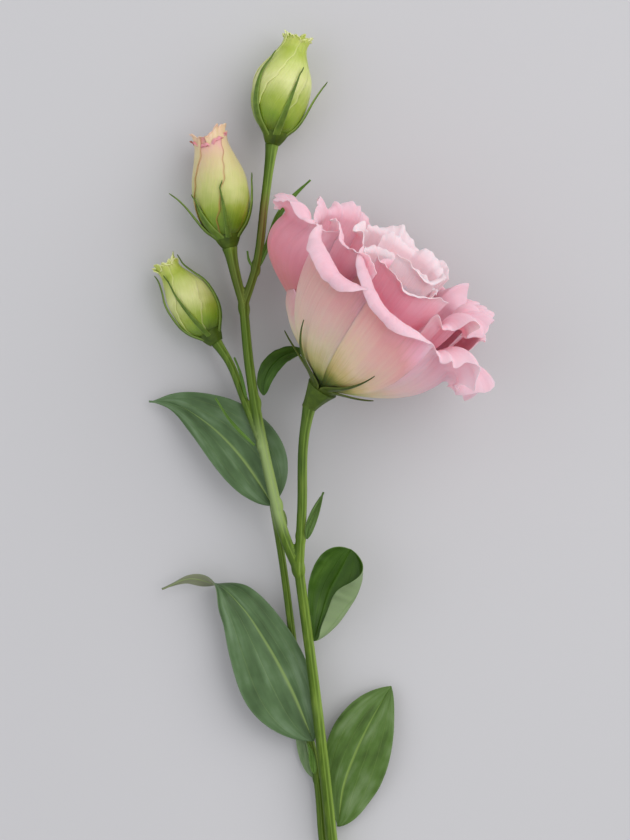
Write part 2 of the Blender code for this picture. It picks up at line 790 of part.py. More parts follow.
# Each sepal of a bud: its azimuth, the drift and the share of the bud's length up to its tip, how far the
# tip stands off, and its width as a share of a bud sepal's usual one.
buds = {
    "top_bud": {
        "length": 0.0318,
        "half_width": 0.0081,
        "twist": 95,
        "turn": 20,
        "bow": -0.0014,
        "tips": 0.0024,
        "top_width": 0.42,
        "sepals": (
            (-50, 2, 0.78, 0.0004, 1.2),
            (12, 22, 0.68, 0.0008, 0.9),
            (78, 6, 0.62, 0.0050, 0.9),
            (150, 10, 0.60, 0.0010, 1.0),
            (222, 10, 0.60, 0.0010, 1.0),
        ),
    },
    "pink_bud": {
        "length": 0.0330,
        "half_width": 0.0080,
        "twist": 70,
        "turn": 60,
        "bow": 0.0004,
        "tips": 0.0028,
        "top_width": 0.58,
        "sepals": (
            (-80, -6, 0.52, 0.0066, 1.1),
            (-42, -18, 0.46, 0.0006, 1.2),
            (4, -4, 0.52, 0.0006, 0.8),
            (72, 4, 0.56, 0.0018, 1.0),
            (170, 0, 0.55, 0.0010, 1.0),
        ),
    },
    "left_bud": {
        "length": 0.0266,
        "half_width": 0.0065,
        "twist": 95,
        "turn": 0,
        "bow": 0.0004,
        "tips": 0.0024,
        "top_width": 0.46,
        "sepals": (
            (-84, 0, 0.92, 0.0012, 0.9),
            (-14, -16, 0.86, 0.0004, 0.7),
            (74, 0, 0.98, 0.0010, 0.9),
            (140, 0, 0.70, 0.0010, 1.0),
            (214, 0, 0.70, 0.0010, 1.0),
        ),
    },
}
bud_foot_height = 0.0016
bud_sepal_foot_height = 0.0004
# The outline of a bud as shares of its half width and its length; its top has the bud's own width.
bud_profile_shares = ((0.36, 0.0), (0.67, 0.08), (0.90, 0.20), (1.0, 0.37), (0.94, 0.56))
bud_shoulder = (0.35, 0.66, 0.74)
bud_rim_heights = (0.87, 0.96)
# The shares of a bud's height where its petals begin to dip inwards and where their points begin.
dip_from = 0.9
points_from = 0.8
dip_depth = 1.2
lap_rise = 0.8
laps_grow_over = 0.3


def bud_profile(bud):
    """Outline of a bud as radius and height, from its foot to the rim of its petal tips."""
    wide, long, top = bud["half_width"], bud["length"], bud["top_width"]
    shoulder = (bud_shoulder[0] + bud_shoulder[1] * top, bud_shoulder[2])
    shares = (*bud_profile_shares, shoulder, *((top, height) for height in bud_rim_heights))
    return np.array([(wide * out, bud_foot_height + (long - bud_foot_height) * up) for out, up in shares])


def bowed(bud, axis, places, height):
    """The places moved to one side, most at half the bud's height."""
    sideways = facing(axis)[2]
    moved = bud["bow"] * np.sin(math.pi * np.clip(height / bud["length"], 0, 1))
    return places + moved[:, None] * sideways


def bud_radius(bud, height):
    smooth = smooth_route(bud_profile(bud), np.linspace(0, 1, profile_samples))
    return np.interp(height, smooth[:, 1], smooth[:, 0])


def bud_place(bud, seat, axis, angle, share):
    """Places on a bud by angle in turns and share of the way up: five petals lap over in a twist."""
    outer = np.clip(share / dip_from, 0, 1)
    dip = np.clip((share - dip_from) / (1 - dip_from), 0, 1)
    profile = smooth_route(bud_profile(bud), outer)
    lap = (angle * bud_petals) % 1
    step = petal_step * (np.minimum(lap / lap_rise, 1) - 0.5) * soft_step(outer / laps_grow_over)
    radius = profile[:, 0] * (1 + step) * (1 - dip)
    point = np.sin(math.pi * lap) * soft_step((outer - points_from) / (1 - points_from))
    height = profile[:, 1] + bud["tips"] * (point - dip_depth * dip)
    radius = np.where(share <= 0, 0, radius)
    degrees = 360 * angle + bud["twist"] * outer + bud["turn"]
    return bowed(bud, axis, around(seat, axis, radius, height, degrees), height)


def build_bud(name, bud):
    seat, axis = bud_seats[name]
    sides = bud_petals * bud_points_per_petal
    mesh = bpy.data.meshes.new(name)
    work = bmesh.new()
    bmesh.ops.create_uvsphere(work, u_segments=sides, v_segments=bud_rings, radius=1.0)
    flat = np.array([vertex.co for vertex in work.verts])
    share = 1 - np.arccos(np.clip(flat[:, 2], -1, 1)) / math.pi
    angle = np.round((np.arctan2(flat[:, 1], flat[:, 0]) / (2 * math.pi) % 1) * sides) / sides
    places = bud_place(bud, seat, axis, angle, share)
    for vertex, place in zip(work.verts, places):
        vertex.co = place
    bmesh.ops.triangulate(work, faces=work.faces)
    turn_outwards(work)
    work.to_mesh(mesh)
    work.free()
    corolla = object_from(mesh, name + "_corolla")
    (bud_cream if name == "pink_bud" else bud_green)(corolla)


def bud_sepal_surface(bud, seat, axis, sepal):
    azimuth, drift, length, flare, wide = sepal

    def places(across, along):
        height = bud_sepal_foot_height + along * bud["length"] * length
        radius = bud_radius(bud, height) * (1 + petal_step / 2) + bud_sepal_clearance + flare * along**3
        radius, height = from_calyx_foot(bud_sepal_start, radius, height, along)
        half = bud_sepal_half_width * wide * sepal_outline(along)
        angle = azimuth + drift * along + np.degrees(half * across / radius)
        return bowed(bud, axis, around(seat, axis, radius, height, angle), height)

    return places


def build_bud_calyx(name, bud):
    seat, axis = bud_seats[name]
    offset, radius, flatness = bud_calyx_foot
    pieces = [ball("foot", seat + offset * unit(axis), radius, axis, flatness, 12, 6)]
    for i, sepal in enumerate(bud["sepals"]):
        pieces.append(blade(f"sepal_{i}", bud_sepal_surface(bud, seat, axis, sepal), 2, 7, sepal_thickness))
    calyx_green(fused(name + "_calyx", pieces))


def main():
    for obj in list(bpy.data.objects):
        bpy.data.objects.remove(obj)
    build_stem()
    for name, leaf in leaves.items():
        build_leaf(name, leaf)
    build_axil_bud()
    build_bloom_corolla()
    build_bloom_calyx()
    for name, bud in buds.items():
        build_bud(name, bud)
        build_bud_calyx(name, bud)
    for obj in bpy.data.collections["lisianthus"].objects:
        obj.data.transform(Matrix.Translation(plant_shift))


main()
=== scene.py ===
from functools import partial
import math

import bpy
import numpy as np
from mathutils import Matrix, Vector


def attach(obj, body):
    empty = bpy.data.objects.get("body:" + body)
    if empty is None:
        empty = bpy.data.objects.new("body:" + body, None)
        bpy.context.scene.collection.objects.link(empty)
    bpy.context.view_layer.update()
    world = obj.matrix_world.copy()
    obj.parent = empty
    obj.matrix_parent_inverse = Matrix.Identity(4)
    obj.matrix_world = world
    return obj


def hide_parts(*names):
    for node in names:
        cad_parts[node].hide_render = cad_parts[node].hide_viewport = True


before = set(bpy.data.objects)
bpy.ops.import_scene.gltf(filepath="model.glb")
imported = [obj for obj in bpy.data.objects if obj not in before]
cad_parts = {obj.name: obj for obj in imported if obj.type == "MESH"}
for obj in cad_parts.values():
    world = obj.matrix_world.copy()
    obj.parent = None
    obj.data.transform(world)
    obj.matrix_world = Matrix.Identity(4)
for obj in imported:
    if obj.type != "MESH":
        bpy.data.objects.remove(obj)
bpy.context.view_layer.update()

print("frame loaded:", len(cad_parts), "nodes")

# the plant is drawn about the middle of the photo's view; this moves its own middle to the origin
plantShift = np.array((-0.0010, 0.0289, 0.0))

fullTurn = 2 * math.pi


def unit(vectors):  # each vector over its own length
    return vectors / np.maximum(np.linalg.norm(vectors, axis=-1, keepdims=True), 1e-12)


def softStep(value):  # 3x^2 - 2x^3 between 0 and 1
    value = np.clip(value, 0, 1)
    return value * value * (3 - 2 * value)


def smoothRoute(points, shares):  # cubic pieces through the points, with slopes from their neighbours
    points = np.array(points)
    steps = np.linalg.norm(np.diff(points, axis=0), axis=1)
    knots = np.concatenate([[0], np.cumsum(steps)])
    slopes = np.gradient(points, knots, axis=0)
    where = np.clip(shares, 0, 1) * knots[-1]
    piece = np.clip(np.searchsorted(knots, where, side="right") - 1, 0, len(steps) - 1)
    span = steps[piece][:, None]
    part = ((where - knots[piece]) / steps[piece])[:, None]
    start = (1 + 2 * part) * (1 - part) ** 2 * points[piece] + part * (1 - part) ** 2 * span * slopes[piece]
    end = part**2 * (3 - 2 * part) * points[piece + 1] + part**2 * (part - 1) * span * slopes[piece + 1]
    return start + end


def facing(axis):  # the axis, the direction square to it nearest to straight up, and the one to its right
    axis = unit(np.array(axis, float))
    up = np.array((0.0, 0.0, 1.0))
    towards = unit(up - axis * axis[2])
    return axis, towards, np.cross(axis, towards)


# Cylinder coordinates round an axis, with 0 degrees on its upper side.
def around(seat, axis, radius, height, degrees):
    axis, towards, right = facing(axis)
    angle = np.radians(degrees)[:, None]
    return seat + height[:, None] * axis + radius[:, None] * (np.cos(angle) * towards + np.sin(angle) * right)


def waveSum(along, lengths, seed):  # sines of several wave lengths with seeded phases, the short ones weaker
    phases = np.random.default_rng(seed).uniform(0, fullTurn, len(lengths))
    strengths = [1 / (1 + 0.55 * number) for number in range(len(lengths))]
    waves = [strength * np.sin(fullTurn * along / length + phase)
             for length, strength, phase in zip(lengths, strengths, phases)]
    return sum(waves) / sum(strengths)


def newObject(name, data):  # an object at the origin that carries the data
    obj = bpy.data.objects.new(name, data)
    bpy.context.scene.collection.objects.link(obj)
    return obj


# A smooth mesh of points and faces: its map gives each corner its point's place on the sheet, and its side
# is 1 on one skin of a sheet and 0 on the other.
def makeMesh(name, points, faces, uv=None, side=None):
    mesh = bpy.data.meshes.new(name)
    mesh.from_pydata((points + plantShift).tolist(), [], faces)
    if uv is not None:
        corners = np.array([corner for face in faces for corner in face])
        layer = mesh.uv_layers.new(name="sheet")
        layer.data.foreach_set("uv", uv[corners].astype(np.float32).ravel())
    if side is not None:
        mesh.attributes.new("side", "FLOAT", "POINT").data.foreach_set("value", side.astype(np.float32))
    mesh.shade_smooth()
    return newObject(name, mesh)


def gridFaces(rows, columns):  # quads of a grid of points stored row by row
    corner = np.arange(rows - 1)[:, None] * columns + np.arange(columns - 1)
    quads = np.stack([corner, corner + 1, corner + columns + 1, corner + columns], axis=-1)
    return quads.reshape(-1, 4)


# A thin sheet: two skins half a thickness to each side of a surface of two shares, across from -1 to 1 and
# along from 0 to 1. The skins close in on each other towards the edge, and a strip of quads joins them there.
# Columns crowd towards the two side edges as a sine does, and rows towards the tip as a power does.
def thinSheet(name, surface, columns, rows, thickness, crowd):
    sideCrowd, edgeShare = 0.8, 0.35
    bend = math.pi / 2 * sideCrowd
    across = np.sin(np.linspace(-bend, bend, columns)) / math.sin(bend)
    along = 1 - (1 - np.linspace(0, 1, rows)) ** crowd
    u, v = np.meshgrid(across, along)
    middle = surface(u.ravel(), v.ravel()).reshape(rows, columns, 3)
    over = unit(np.cross(np.gradient(middle, axis=1), np.gradient(middle, axis=0)))
    near = np.maximum(np.abs(u) ** 10, v**24)
    half = (thickness / 2 * (edgeShare + (1 - edgeShare) * np.sqrt(np.clip(1 - near, 0, 1))))[..., None]
    count = rows * columns
    points = np.concatenate([(middle + over * half).reshape(-1, 3), (middle - over * half).reshape(-1, 3)])
    top = gridFaces(rows, columns)
    index = np.arange(count).reshape(rows, columns)
    loop = np.concatenate([index[0, :-1], index[:-1, -1], index[-1, :0:-1], index[:0:-1, 0]])
    after = np.roll(loop, -1)
    strip = np.stack([loop + count, after + count, after, loop], axis=-1)
    faces = np.concatenate([top, top[:, ::-1] + count, strip]).tolist()
    uv = np.stack([u.ravel() * 0.5 + 0.5, v.ravel()], axis=-1)
    return makeMesh(name, points, faces, np.concatenate([uv, uv]), np.repeat([1.0, 0.0], count))


# A tube: quads between rings of points, and a fan of triangles to the middle of the ring at each end. All
# faces are turned over where the rings run the other way round.
def closedTube(rings, turnedOver=False):
    count, sides = rings.shape[:2]
    grid = np.arange(count * sides).reshape(count, sides)
    after = np.roll(grid, -1, 1)
    quads = np.stack([grid[:-1], grid[1:], after[1:], after[:-1]], axis=-1).reshape(-1, 4)
    low = np.stack([grid[0], after[0], np.full(sides, count * sides)], axis=-1)
    high = np.stack([after[-1], grid[-1], np.full(sides, count * sides + 1)], axis=-1)
    if turnedOver:
        quads, low, high = quads[:, [0, 3, 2, 1]], low[:, [1, 0, 2]], high[:, [1, 0, 2]]
    points = np.concatenate([rings.reshape(-1, 3), rings[0].mean(0)[None], rings[-1].mean(0)[None]])
    return points, [*quads.tolist(), *low.tolist(), *high.tolist()]


# A profile carried round an axis: rings of points with a radius and a height, closed by a point at each end.
def turned(name, seat, axis, shape, rings, sides):
    share, angle = np.meshgrid(np.linspace(0, 1, rings), np.arange(sides) / sides, indexing="ij")
    radius, height, degrees = shape(share.ravel(), angle.ravel())
    places = around(seat, axis, radius, height, degrees).reshape(rings, sides, 3)
    points, faces = closedTube(places, turnedOver=True)
    uv = np.concatenate([np.stack([angle.ravel(), share.ravel()], axis=-1), [[0.5, 0.0], [0.5, 1.0]]])
    return makeMesh(name, points, faces, uv)


# A piece gets its finish and the body that it rides on, and the CAD nodes that it stands for are hidden.
def wear(obj, paint, slot, *nodes):
    obj.data.materials.clear()
    obj.data.materials.append(paint)
    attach(obj, "root")
    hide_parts(*nodes)
    return obj


class Wire:  # a shader socket that can stand in a sum, such as 1 - mask * 0.5
    def __init__(self, paint, socket):
        self.paint, self.socket = paint, socket

    def math(self, operation, *values):
        return self.paint.add("Math", dict(enumerate(values)), operation=operation)

    def __abs__(self):
        return self.math("ABSOLUTE", self)

    def step(self, low, high):  # 0 below low, 1 above high, smooth between; it falls where low is the larger
        sockets = {"Value": self, "From Min": low, "From Max": high}
        return self.paint.add("MapRange", sockets, interpolation_type="SMOOTHSTEP")


# the signs of a sum: each adds the math node of its operation, with the wire before or after the other value
def signOf(operation, wireFirst):
    def sign(wire, other):
        return wire.math(operation, wire, other) if wireFirst else wire.math(operation, other, wire)

    return sign


signs = {"add": "ADD", "sub": "SUBTRACT", "mul": "MULTIPLY", "pow": "POWER", "mod": "MODULO"}
for sign, operation in signs.items():
    setattr(Wire, f"__{sign}__", signOf(operation, True))
    setattr(Wire, f"__r{sign}__", signOf(operation, False))


def light(code):  # a colour as it looks on a screen, given as six hex digits, in the renderer's own numbers
    parts = [int(code[first:first + 2], 16) / 255 for first in (0, 2, 4)]
    return (*(part / 12.92 if part <= 0.04045 else ((part + 0.055) / 1.055) ** 2.4 for part in parts), 1)


class Paint:  # a material whose fixed values are given by the names of the shader's sockets
    def __init__(self, name, **fixed):
        self.material = bpy.data.materials.new(name)
        self.material.use_nodes = True
        self.tree = self.material.node_tree
        self.shader = self.tree.nodes["Principled BSDF"]
        for key, value in fixed.items():
            self.shader.inputs[key.replace("_", " ")].default_value = value

    def add(self, kind, sockets=None, output=0, **settings):  # any node, with what feeds it and its settings
        node = self.tree.nodes.new("ShaderNode" + kind)
        for key, value in settings.items():
            setattr(node, key, value)
        for key, value in (sockets or {}).items():
            if isinstance(value, Wire):
                self.tree.links.new(value.socket, node.inputs[key])
            else:
                node.inputs[key].default_value = value
        return Wire(self, node.outputs[output])

    def send(self, value, name):
        self.tree.links.new(value.socket, self.shader.inputs[name])

    def parts(self, place):  # the first and the second of a place's numbers
        first = self.add("SeparateXYZ", {"Vector": place})
        return first, Wire(self, first.socket.node.outputs[1])

    def sheetPlace(self):  # across from -1 to 1 and along from 0 to 1, from the piece's own map
        across, along = self.parts(self.add("UVMap", uv_map="sheet"))
        return across * 2 - 1, along

    def attribute(self, name):
        return self.add("Attribute", output=2, attribute_name=name)

    def place(self, *scale):  # Object coordinates stretched by one scale, or by one for each axis
        where = self.add("TexCoord", output=3)
        scale = scale if len(scale) == 3 else scale * 3
        return self.add("Mapping", {"Vector": where, "Scale": scale})

    def noise(self, where, detail=3.0):
        return self.add("TexNoise", {"Vector": where, "Scale": 1.0, "Detail": detail, "Roughness": 0.55})

    def vector(self, x, y):
        return self.add("CombineXYZ", {"X": x, "Y": y})

    def ramp(self, value, stops):  # a colour that passes from stop to stop as the value rises
        colour = self.add("ValToRGB", {"Fac": value})
        elements = colour.socket.node.color_ramp.elements
        while len(elements) < len(stops):
            elements.new(0.5)
        for element, (place, code) in zip(elements, stops):
            element.position, element.color = place, light(code)
        return colour

    def mottle(self, dark, pale, *scale):  # a noise, and the two colours that it runs between
        noise = self.noise(self.place(*scale))
        return noise, self.ramp(noise, ((0.3, dark), (0.7, pale)))

    def mix(self, share, first, second):
        first, second = (value if isinstance(value, Wire) else light(value) for value in (first, second))
        return self.add("Mix", {0: share, 6: first, 7: second}, 2, data_type="RGBA")

    def finish(self, colour, roughness, height, distance, strength):  # the last three make the bump
        self.send(colour, "Base Color")
        self.send(roughness, "Roughness")
        self.send(self.add("Bump", {"Height": height, "Distance": distance, "Strength": strength}), "Normal")
        return self.material


# The stem: its stalks and swollen nodes are grown together into one skin.
stemLook = dict(
    voxel=0.0003, smoothing=0.5, smoothings=6, sides=24, ringSpacing=0.0012, stations=40, cutSlope=0.5,
    cutFromStart=0.0029, swellLength=1.7, swellRings=14, swellFromPole=0.05, swellAxis=(-0.15, 1.0, 0.0),
)
mainRoute = (
    (0.0101, -0.173, 0.00167), (0.005, -0.1237, 0.0058), (-0.0004, -0.0762, 0.0112),
    (-0.0047, -0.0437, 0.015),
)
stemRoutes = {  # centre line, radius at the start and at the end, widening under a flower
    "main": (mainRoute, 0.0018, 0.0015, 0.0),
    "bloomStalk": (
        ((-0.0047, -0.0437, 0.015), (-0.0038, -0.0262, 0.017), (-0.003, -0.0035, 0.0194),
            (-0.0016, 0.0041, 0.0208)),
        0.0015, 0.0014, 0.0007,
    ),
    "branch": (
        ((-0.0047, -0.0437, 0.015), (-0.0085, -0.035, 0.015), (-0.013, -0.0175, 0.0145),
            (-0.0194, 0.0175, 0.0127), (-0.0209, 0.0334, 0.0117)),
        0.0017, 0.0014, 0.0,
    ),
    "topStalk": (
        ((-0.0209, 0.0334, 0.0117), (-0.0174, 0.0445, 0.0112), (-0.0147, 0.0645, 0.0102),
            (-0.0126, 0.081, 0.0098)),
        0.0013, 0.0013, 0.0008,
    ),
    "pinkStalk": (
        ((-0.0209, 0.0334, 0.0117), (-0.0236, 0.0439, 0.0112), (-0.025, 0.0505, 0.011)),
        0.0013, 0.0018, 0.0006,
    ),
    "leftStalk": (
        ((-0.0154, -0.0076, 0.014), (-0.0207, 0.0059, 0.0116), (-0.0255, 0.0176, 0.0096),
            (-0.029, 0.0229, 0.0087)),
        0.0012, 0.0012, 0.0006,
    ),
    "rear": (
        ((0.0074, -0.1492, 0.0036), (0.0023, -0.1243, 0.0029), (0.0011, -0.1094, 0.0034),
            (-0.0044, -0.0796, 0.0052), (-0.0101, -0.0382, 0.008), (-0.0129, -0.0217, 0.0092)),
        0.0013, 0.0011, 0.0,
    ),
}
swellings = (
    ((-0.0049, -0.0432, 0.015), 0.0021), ((-0.0208, 0.0327, 0.0117), 0.0018),
    ((-0.0174, 0.0445, 0.0112), 0.0015), ((-0.0173, 0.005, 0.0134), 0.0017),
    ((-0.0154, -0.0074, 0.014), 0.0018), ((-0.011, -0.025, 0.0148), 0.0018),
    ((-0.0042, -0.0343, 0.0161), 0.0016), ((0.0006, -0.106, 0.0036), 0.0014),
    ((0.0074, -0.1492, 0.0037), 0.0021),
)


def circleOf(first, second):  # a unit circle: one direction by the cosine and the one square to it by the sine
    turn = (np.arange(stemLook["sides"]) / stemLook["sides"] * fullTurn)[:, None]
    return first * np.cos(turn) + second * np.sin(turn)


# A stalk: a ring carried along a smooth route, its radius changing evenly and widening at the end.
def stalkPoints(route, startRadius, endRadius, widening):
    length = np.linalg.norm(np.diff(np.array(route), axis=0), axis=1).sum()
    share = np.linspace(0, 1, int(length / stemLook["ringSpacing"]) + 2)
    centre = smoothRoute(route, share)
    ahead = unit(np.gradient(centre, axis=0))
    left = unit(np.cross(ahead, (0.0, 0.0, 1.0)))
    over = np.cross(left, ahead)
    radius = startRadius + (endRadius - startRadius) * share + widening * share**10
    return centre[:, None] + radius[:, None, None] * circleOf(left[:, None], over[:, None])


# A swollen node: a ball drawn out along the stem. A ring's radius is the ball's by the sine of its angle from
# the pole, and its place along the stem goes by the cosine.
def swellingRings(centre, radius):
    pole = stemLook["swellFromPole"]
    bow = np.linspace(pole, math.pi - pole, stemLook["swellRings"])
    axis, towards, right = facing(stemLook["swellAxis"])
    middle = np.array(centre) - np.cos(bow)[:, None] * axis * radius * stemLook["swellLength"]
    return middle[:, None] + (radius * np.sin(bow))[:, None, None] * circleOf(right, towards)


# How far to the right round its stalk a point lies: its offset from the nearest centre line, across that
# line, as the cosine to the line's right-hand side (-1 at the left edge, 1 at the right).
def rightward(where):
    share = np.linspace(0, 1, stemLook["stations"])
    lines = [smoothRoute(entry[0], share) for entry in stemRoutes.values()]
    centre = np.concatenate(lines)
    ahead = np.concatenate([unit(np.gradient(line, axis=0)) for line in lines])
    apart = (where**2).sum(1)[:, None] + (centre**2).sum(1) - 2 * where @ centre.T
    nearest = apart.argmin(axis=1)
    offset = where - centre[nearest]
    offset -= (offset * ahead[nearest]).sum(1)[:, None] * ahead[nearest]
    right = unit(np.cross(ahead[nearest], (0.0, 0.0, 1.0)))
    return (unit(offset) * right).sum(1).astype(np.float32)


# The stem's skin: all tubes in one mesh, remade from small voxels as one closed skin and smoothed. What lies
# past the slanted cut is laid on the cut, and what lies below the floor on the floor.
def makeStem():
    points, faces, first = [], [], 0
    shapes = [stalkPoints(*route) for route in stemRoutes.values()]
    shapes += [swellingRings(*swelling) for swelling in swellings]
    for rings in shapes:
        more, tiles = closedTube(rings)
        points.append(more)
        faces += [[corner + first for corner in tile] for tile in tiles]
        first += len(more)
    stem = makeMesh("freshStem", np.concatenate(points), faces)
    grown = stem.modifiers.new("grown", "REMESH")
    grown.mode, grown.voxel_size, grown.use_smooth_shade = "VOXEL", stemLook["voxel"], True
    smooth = stem.modifiers.new("smooth", "SMOOTH")
    smooth.factor, smooth.iterations = stemLook["smoothing"], stemLook["smoothings"]
    bpy.context.view_layer.update()
    whole = bpy.data.meshes.new_from_object(stem.evaluated_get(bpy.context.evaluated_depsgraph_get()))
    stem.modifiers.clear()
    stem.data = whole
    where = np.empty(len(whole.vertices) * 3, np.float32)
    whole.vertices.foreach_get("co", where)
    where = where.reshape(-1, 3)
    slope = unit(np.array((0.0, -1.0, stemLook["cutSlope"])))
    cut = np.array(mainRoute[0]) + plantShift + np.array((0.0, stemLook["cutFromStart"], 0.0))
    where -= np.maximum((where - cut) @ slope, 0)[:, None] * slope
    where[:, 2] = np.maximum(where[:, 2], 0.0)
    whole.vertices.foreach_set("co", where.ravel())
    # how far round to the right each point lies, kept as the ridge attribute: it places the stem's painted shade
    # and painted highlights
    whole.attributes.new("ridge", "FLOAT", "POINT").data.foreach_set("value", rightward(where - plantShift))
    whole.shade_smooth()
    return stem


# Tints of the stem. Each fades in and out along Y, and across X with a share of Y added, its slant; a pair of
# places that falls fades out.
stemTints = (
    dict(along=((0.064, 0.074), (0.098, 0.088)), slant=0.13, across=(-0.0085, -0.0045), share=0.55,
         colour="8a5f45"),  # red-brown on the right of the top bud's stalk
    dict(along=((0.055, 0.066), (0.082, 0.072)), share=0.35, colour="6b6a2e"),  # olive above the upper fork
    dict(along=((-0.006, 0.002), (0.032, 0.02)), slant=0.28, across=(-0.0078, -0.009), share=0.66,
         colour="a4b97c"),  # waxy on the branch
    dict(along=((-0.002, 0.008), (0.036, 0.03)), slant=0.28, across=(-0.0078, -0.0068), share=0.4,
         colour="2e4a08"),  # the bloom's stalk is darker than the branch beside it
    dict(along=((-0.128, -0.141),), share=0.4, colour="a9bf7a"),  # pale at the cut
)
# painted light on the stems: a shade colour on the left side, a highlight colour at the right edge and along a
# line near the middle
stemLightShade = dict(
    paintedShadeSide=(-0.15, -0.95), edge=(0.45, 0.8), line=0.1, middleHighlightEdge=(0.16, 0.05), shaded="2a4606", lit="a2c05c",
)


# The stem's green: fine streaks along it and pale blotches, then the tints, then painted shade on its left side
# and two painted highlights, one at the right edge and one near the middle, as light from the right falls on it.
def stemPaint():
    paint = Paint("stemSkin", Specular_IOR_Level=0.25, Subsurface_Weight=0.10,
                  Subsurface_Radius=(0.6, 1.0, 0.25), Subsurface_Scale=0.0006)
    streak = paint.noise(paint.place(900, 45, 900))
    blotch = paint.noise(paint.place(60), 2.0)
    green = paint.ramp(streak, ((0.25, "3c5608"), (0.5, "526e14"), (0.78, "728a2c")))
    green = paint.mix(blotch.step(0.55, 0.75) * 0.3, green, "84a048")
    x, y = paint.parts(paint.place(1))
    for tint in stemTints:
        mask = y.step(*tint["along"][0]) * tint["share"]
        for fade in tint["along"][1:]:
            mask = mask * y.step(*fade)
        if "across" in tint:
            mask = mask * (x + y * tint["slant"]).step(*tint["across"])
        green = paint.mix(mask, green, tint["colour"])
    turn = paint.attribute("ridge")
    # painted shade on the left side, then painted highlights at the right edge and near the middle
    green = paint.mix(turn.step(*stemLightShade["paintedShadeSide"]) * 0.50, green, stemLightShade["shaded"])
    green = paint.mix(turn.step(*stemLightShade["edge"]) * 0.42, green, stemLightShade["lit"])
    line = abs(turn - stemLightShade["line"]).step(*stemLightShade["middleHighlightEdge"])
    green = paint.mix(line * 0.22, green, stemLightShade["lit"])
    return paint.finish(green, 0.36 + streak * 0.2, streak, 0.0002, 0.5)


stem = wear(makeStem(), stemPaint(), "stem_green", "stem")
print("stem:", len(stem.data.vertices), "points")


# Leaves and bracts
leafLook = dict(
    thickness=0.00045, leastHalfWidth=0.0003, wideGrid=(57, 110), narrowGrid=(17, 60), wideFrom=0.0015,
    midribDepth=0.00022, midribWidth=0.045, edgeRipple=0.00035, rippleLengths=(0.011, 0.006), turnBand=0.3,
    samples=24,
)


def swell(along, baseFull, tipFull):  # rises from the base and falls to the tip by powers of both distances
    widest = baseFull / (baseFull + tipFull)
    shape = np.clip(along, 0.001, 1) ** baseFull * np.clip(1 - along, 0, 1) ** tipFull
    return shape / (widest**baseFull * (1 - widest) ** tipFull)


# A leaf: a midrib route with a half width to each side that swells and thins along it; the halves fold up,
# cup, turn over at an edge and wave, and the whole blade may roll about its midrib. The bend is summed from
# the midrib out in small samples, whose cosines give the reach and whose sines give the rise.
def leafSurface(leaf, across, along):
    route = leaf["route"]
    leftHalf = across > 0
    centre = smoothRoute(route, along)
    ahead = unit(smoothRoute(route, along + 0.01) - smoothRoute(route, along - 0.01))
    side = unit(np.cross((0.0, 0.0, 1.0), ahead))
    lift = np.cross(ahead, side)
    start, middle, end = leaf.get("roll", (0, 0, 0))
    turnFrom, turnTo = leaf.get("rollBetween", (0.3, 0.7))
    roll = start + (middle - start) * softStep(along / turnFrom)
    roll = np.radians(roll + (end - middle) * softStep((along - turnFrom) / (turnTo - turnFrom)))[:, None]
    left = side * np.cos(roll) + lift * np.sin(roll)
    face = lift * np.cos(roll) - side * np.sin(roll)
    leftShape = swell(along, *leaf["outline"])
    rightShape = swell(along, *leaf.get("rightOutline", leaf["outline"]))
    shape = np.where(leftHalf, leftShape, rightShape)
    half = np.maximum(leafLook["leastHalfWidth"], np.where(leftHalf, *leaf["halfWidths"]) * shape)
    skewed = np.clip(along, 0, 1) ** leaf.get("turnLean", 1)
    turn = np.where(leftHalf, *leaf.get("edgeTurn", (0, 0))) * np.sin(math.pi * skewed) ** 0.7
    samples = leafLook["samples"]
    out = np.abs(across)[:, None] * (np.arange(samples) + 0.5) / samples
    turned = turn[:, None] * softStep((out - leaf.get("turnFrom", 0.62)) / leafLook["turnBand"])
    bend = np.radians(leaf.get("fold", 0) + leaf.get("cup", 0) * out + turned)
    reach = np.abs(across) * np.cos(bend).mean(axis=1) * half
    rise = np.abs(across) * np.sin(bend).mean(axis=1) * half
    waves, depth = leaf.get("waves", (0, 0))
    rise = rise + depth * across**2 * np.sin(fullTurn * waves * along + across) * shape
    relief = leaf.get("relief", 0)
    rise = rise - relief * leafLook["midribDepth"] * np.exp(-((across / leafLook["midribWidth"]) ** 2))
    fine = waveSum(along * 0.05, leafLook["rippleLengths"], leaf.get("seed", 1))
    rise = rise + relief * leafLook["edgeRipple"] * fine * np.abs(across) ** 3 * shape
    return centre + np.sign(across)[:, None] * reach[:, None] * left + rise[:, None] * face


